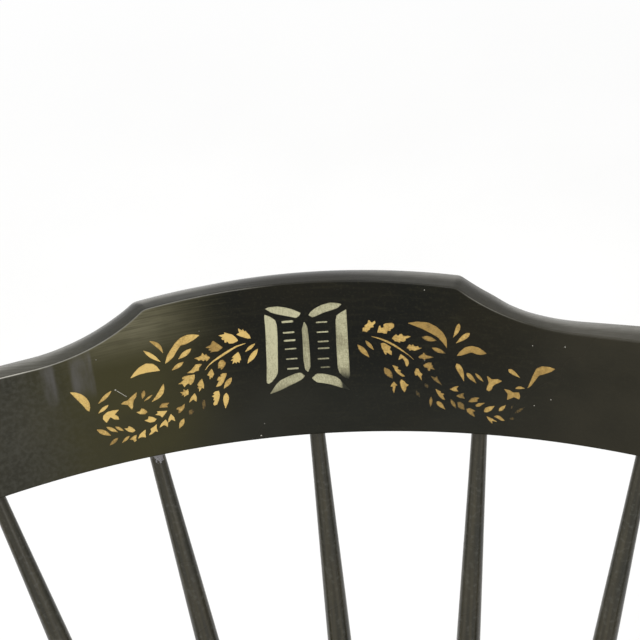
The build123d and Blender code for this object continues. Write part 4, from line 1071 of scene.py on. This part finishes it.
FLOOR_HALF = 6.0
FLOOR_FADE = (0.9, 2.4)  # how far from the middle the floor turns white
LIGHT_AREA = {  # place, size, watts
    "softbox_top": ((-0.4, 0.3, 2.9), (2.6, 2.0), 34.0),
    "softbox_front_left": ((-1.9, -1.9, 2.1), (1.4, 1.4), 16.0),
    "softbox_front_right": ((1.5, -2.4, 0.9), (1.0, 1.2), 9.0),
}
CHAIR_MIDDLE = Vector((0, 0.1, 0.6))
HORIZON, GROUND_LIGHT, SKY_LIGHT = (-0.35, 0.15), 0.3, 0.72
CAMERA_PLACE = CREST_FOOT + (CREST_ACROSS * 75.236 - CREST_BACK * 745.188 + CREST_UP * 462.475) * MM
CAMERA_DOWN, CAMERA_TURN, CAMERA_ROLL = 0.484, -0.0885, -0.1087  # radians, from the crest's own axes
CAMERA_LENS, SENSOR = 90.43, 36.0


def make_floor():
    """A pale floor that keeps the chair's shadow and turns plain white well away from it."""
    mesh = bpy.data.meshes.new("floor")
    corners = [(x * FLOOR_HALF, y * FLOOR_HALF, 0) for x, y in ((-1, -1), (1, -1), (1, 1), (-1, 1))]
    mesh.from_pydata(corners, [], [(0, 1, 2, 3)])
    floor = bpy.data.objects.new("floor", mesh)
    bpy.context.scene.collection.objects.link(floor)
    plain = Shader("floor_plain", FLOOR_WHITE)
    plain.lay(FLOOR_DIMMER, plain.cloud(3, 4, 0.3, 0.7))
    mesh.materials.append(plain.set(Roughness=0.9, Specular_IOR_Level=0.1))
    away = plain.add("VectorMath", "Value", {0: plain.where}, operation="LENGTH")
    fade = plain.math("MULTIPLY", plain.range(away, *FLOOR_FADE), plain.in_view(0.0))
    shaded = plain.tree.nodes["Principled BSDF"].outputs["BSDF"]
    faded = plain.add("MixShader", "Shader", {"Fac": fade, 1: shaded, 2: plain.add("Emission", "Emission")})
    plain.fill(plain.tree.nodes["Material Output"], {"Surface": faded})


def make_lights():
    """Soft area lights that look at the middle of the chair."""
    for name, (place, size, watts) in LIGHT_AREA.items():
        light = bpy.data.lights.new(name, "AREA")
        light.shape, light.size, light.size_y, light.energy = "RECTANGLE", *size, watts
        lamp = bpy.data.objects.new(name, light)
        lamp.location = place
        lamp.rotation_euler = (CHAIR_MIDDLE - Vector(place)).to_track_quat("-Z", "Y").to_euler()
        lamp.visible_camera = False
        bpy.context.scene.collection.objects.link(lamp)


def make_world():
    """White where it is seen or mirrored; as a light, a pale sky over a dimmer ground."""
    world = bpy.data.worlds.new("studio")
    world.use_nodes = True
    sky = Nodes(world.node_tree)
    height = sky.add("SeparateXYZ", "Z", {"Vector": sky.add("TexCoord", "Generated")})
    light = sky.add("MapRange", "Result", {"Value": height, "From Min": HORIZON[0], "From Max": HORIZON[1],
                                           "To Min": GROUND_LIGHT, "To Max": SKY_LIGHT})
    sky.fill(sky.tree.nodes["Background"], {"Color": (1, 1, 1, 1), "Strength": sky.in_view(light)})
    bpy.context.scene.world = world


def make_camera():
    """The camera looks down at the crest's face. Its angles are given in the crest's own directions."""

    def in_row_frame(x, back, up):
        return CREST_ACROSS * x + CREST_BACK * back + CREST_UP * up

    down, turn, roll = CAMERA_DOWN, CAMERA_TURN, CAMERA_ROLL
    forward = in_row_frame(math.sin(turn) * math.cos(down), math.cos(turn) * math.cos(down), -math.sin(down))
    level = in_row_frame(math.cos(turn), -math.sin(turn), 0)
    above = level.cross(forward)
    right = level * math.cos(roll) + above * math.sin(roll)
    up = above * math.cos(roll) - level * math.sin(roll)
    data = bpy.data.cameras.new("camera")
    data.lens, data.sensor_width = CAMERA_LENS, SENSOR
    camera = bpy.data.objects.new("camera", data)
    turned = Matrix((right, up, -forward)).transposed().to_4x4()
    camera.matrix_world = Matrix.Translation(CAMERA_PLACE) @ turned
    bpy.context.scene.collection.objects.link(camera)
    bpy.context.scene.camera = camera


make_floor()
make_lights()
make_world()
make_camera()
bpy.context.scene.view_settings.view_transform = "Standard"
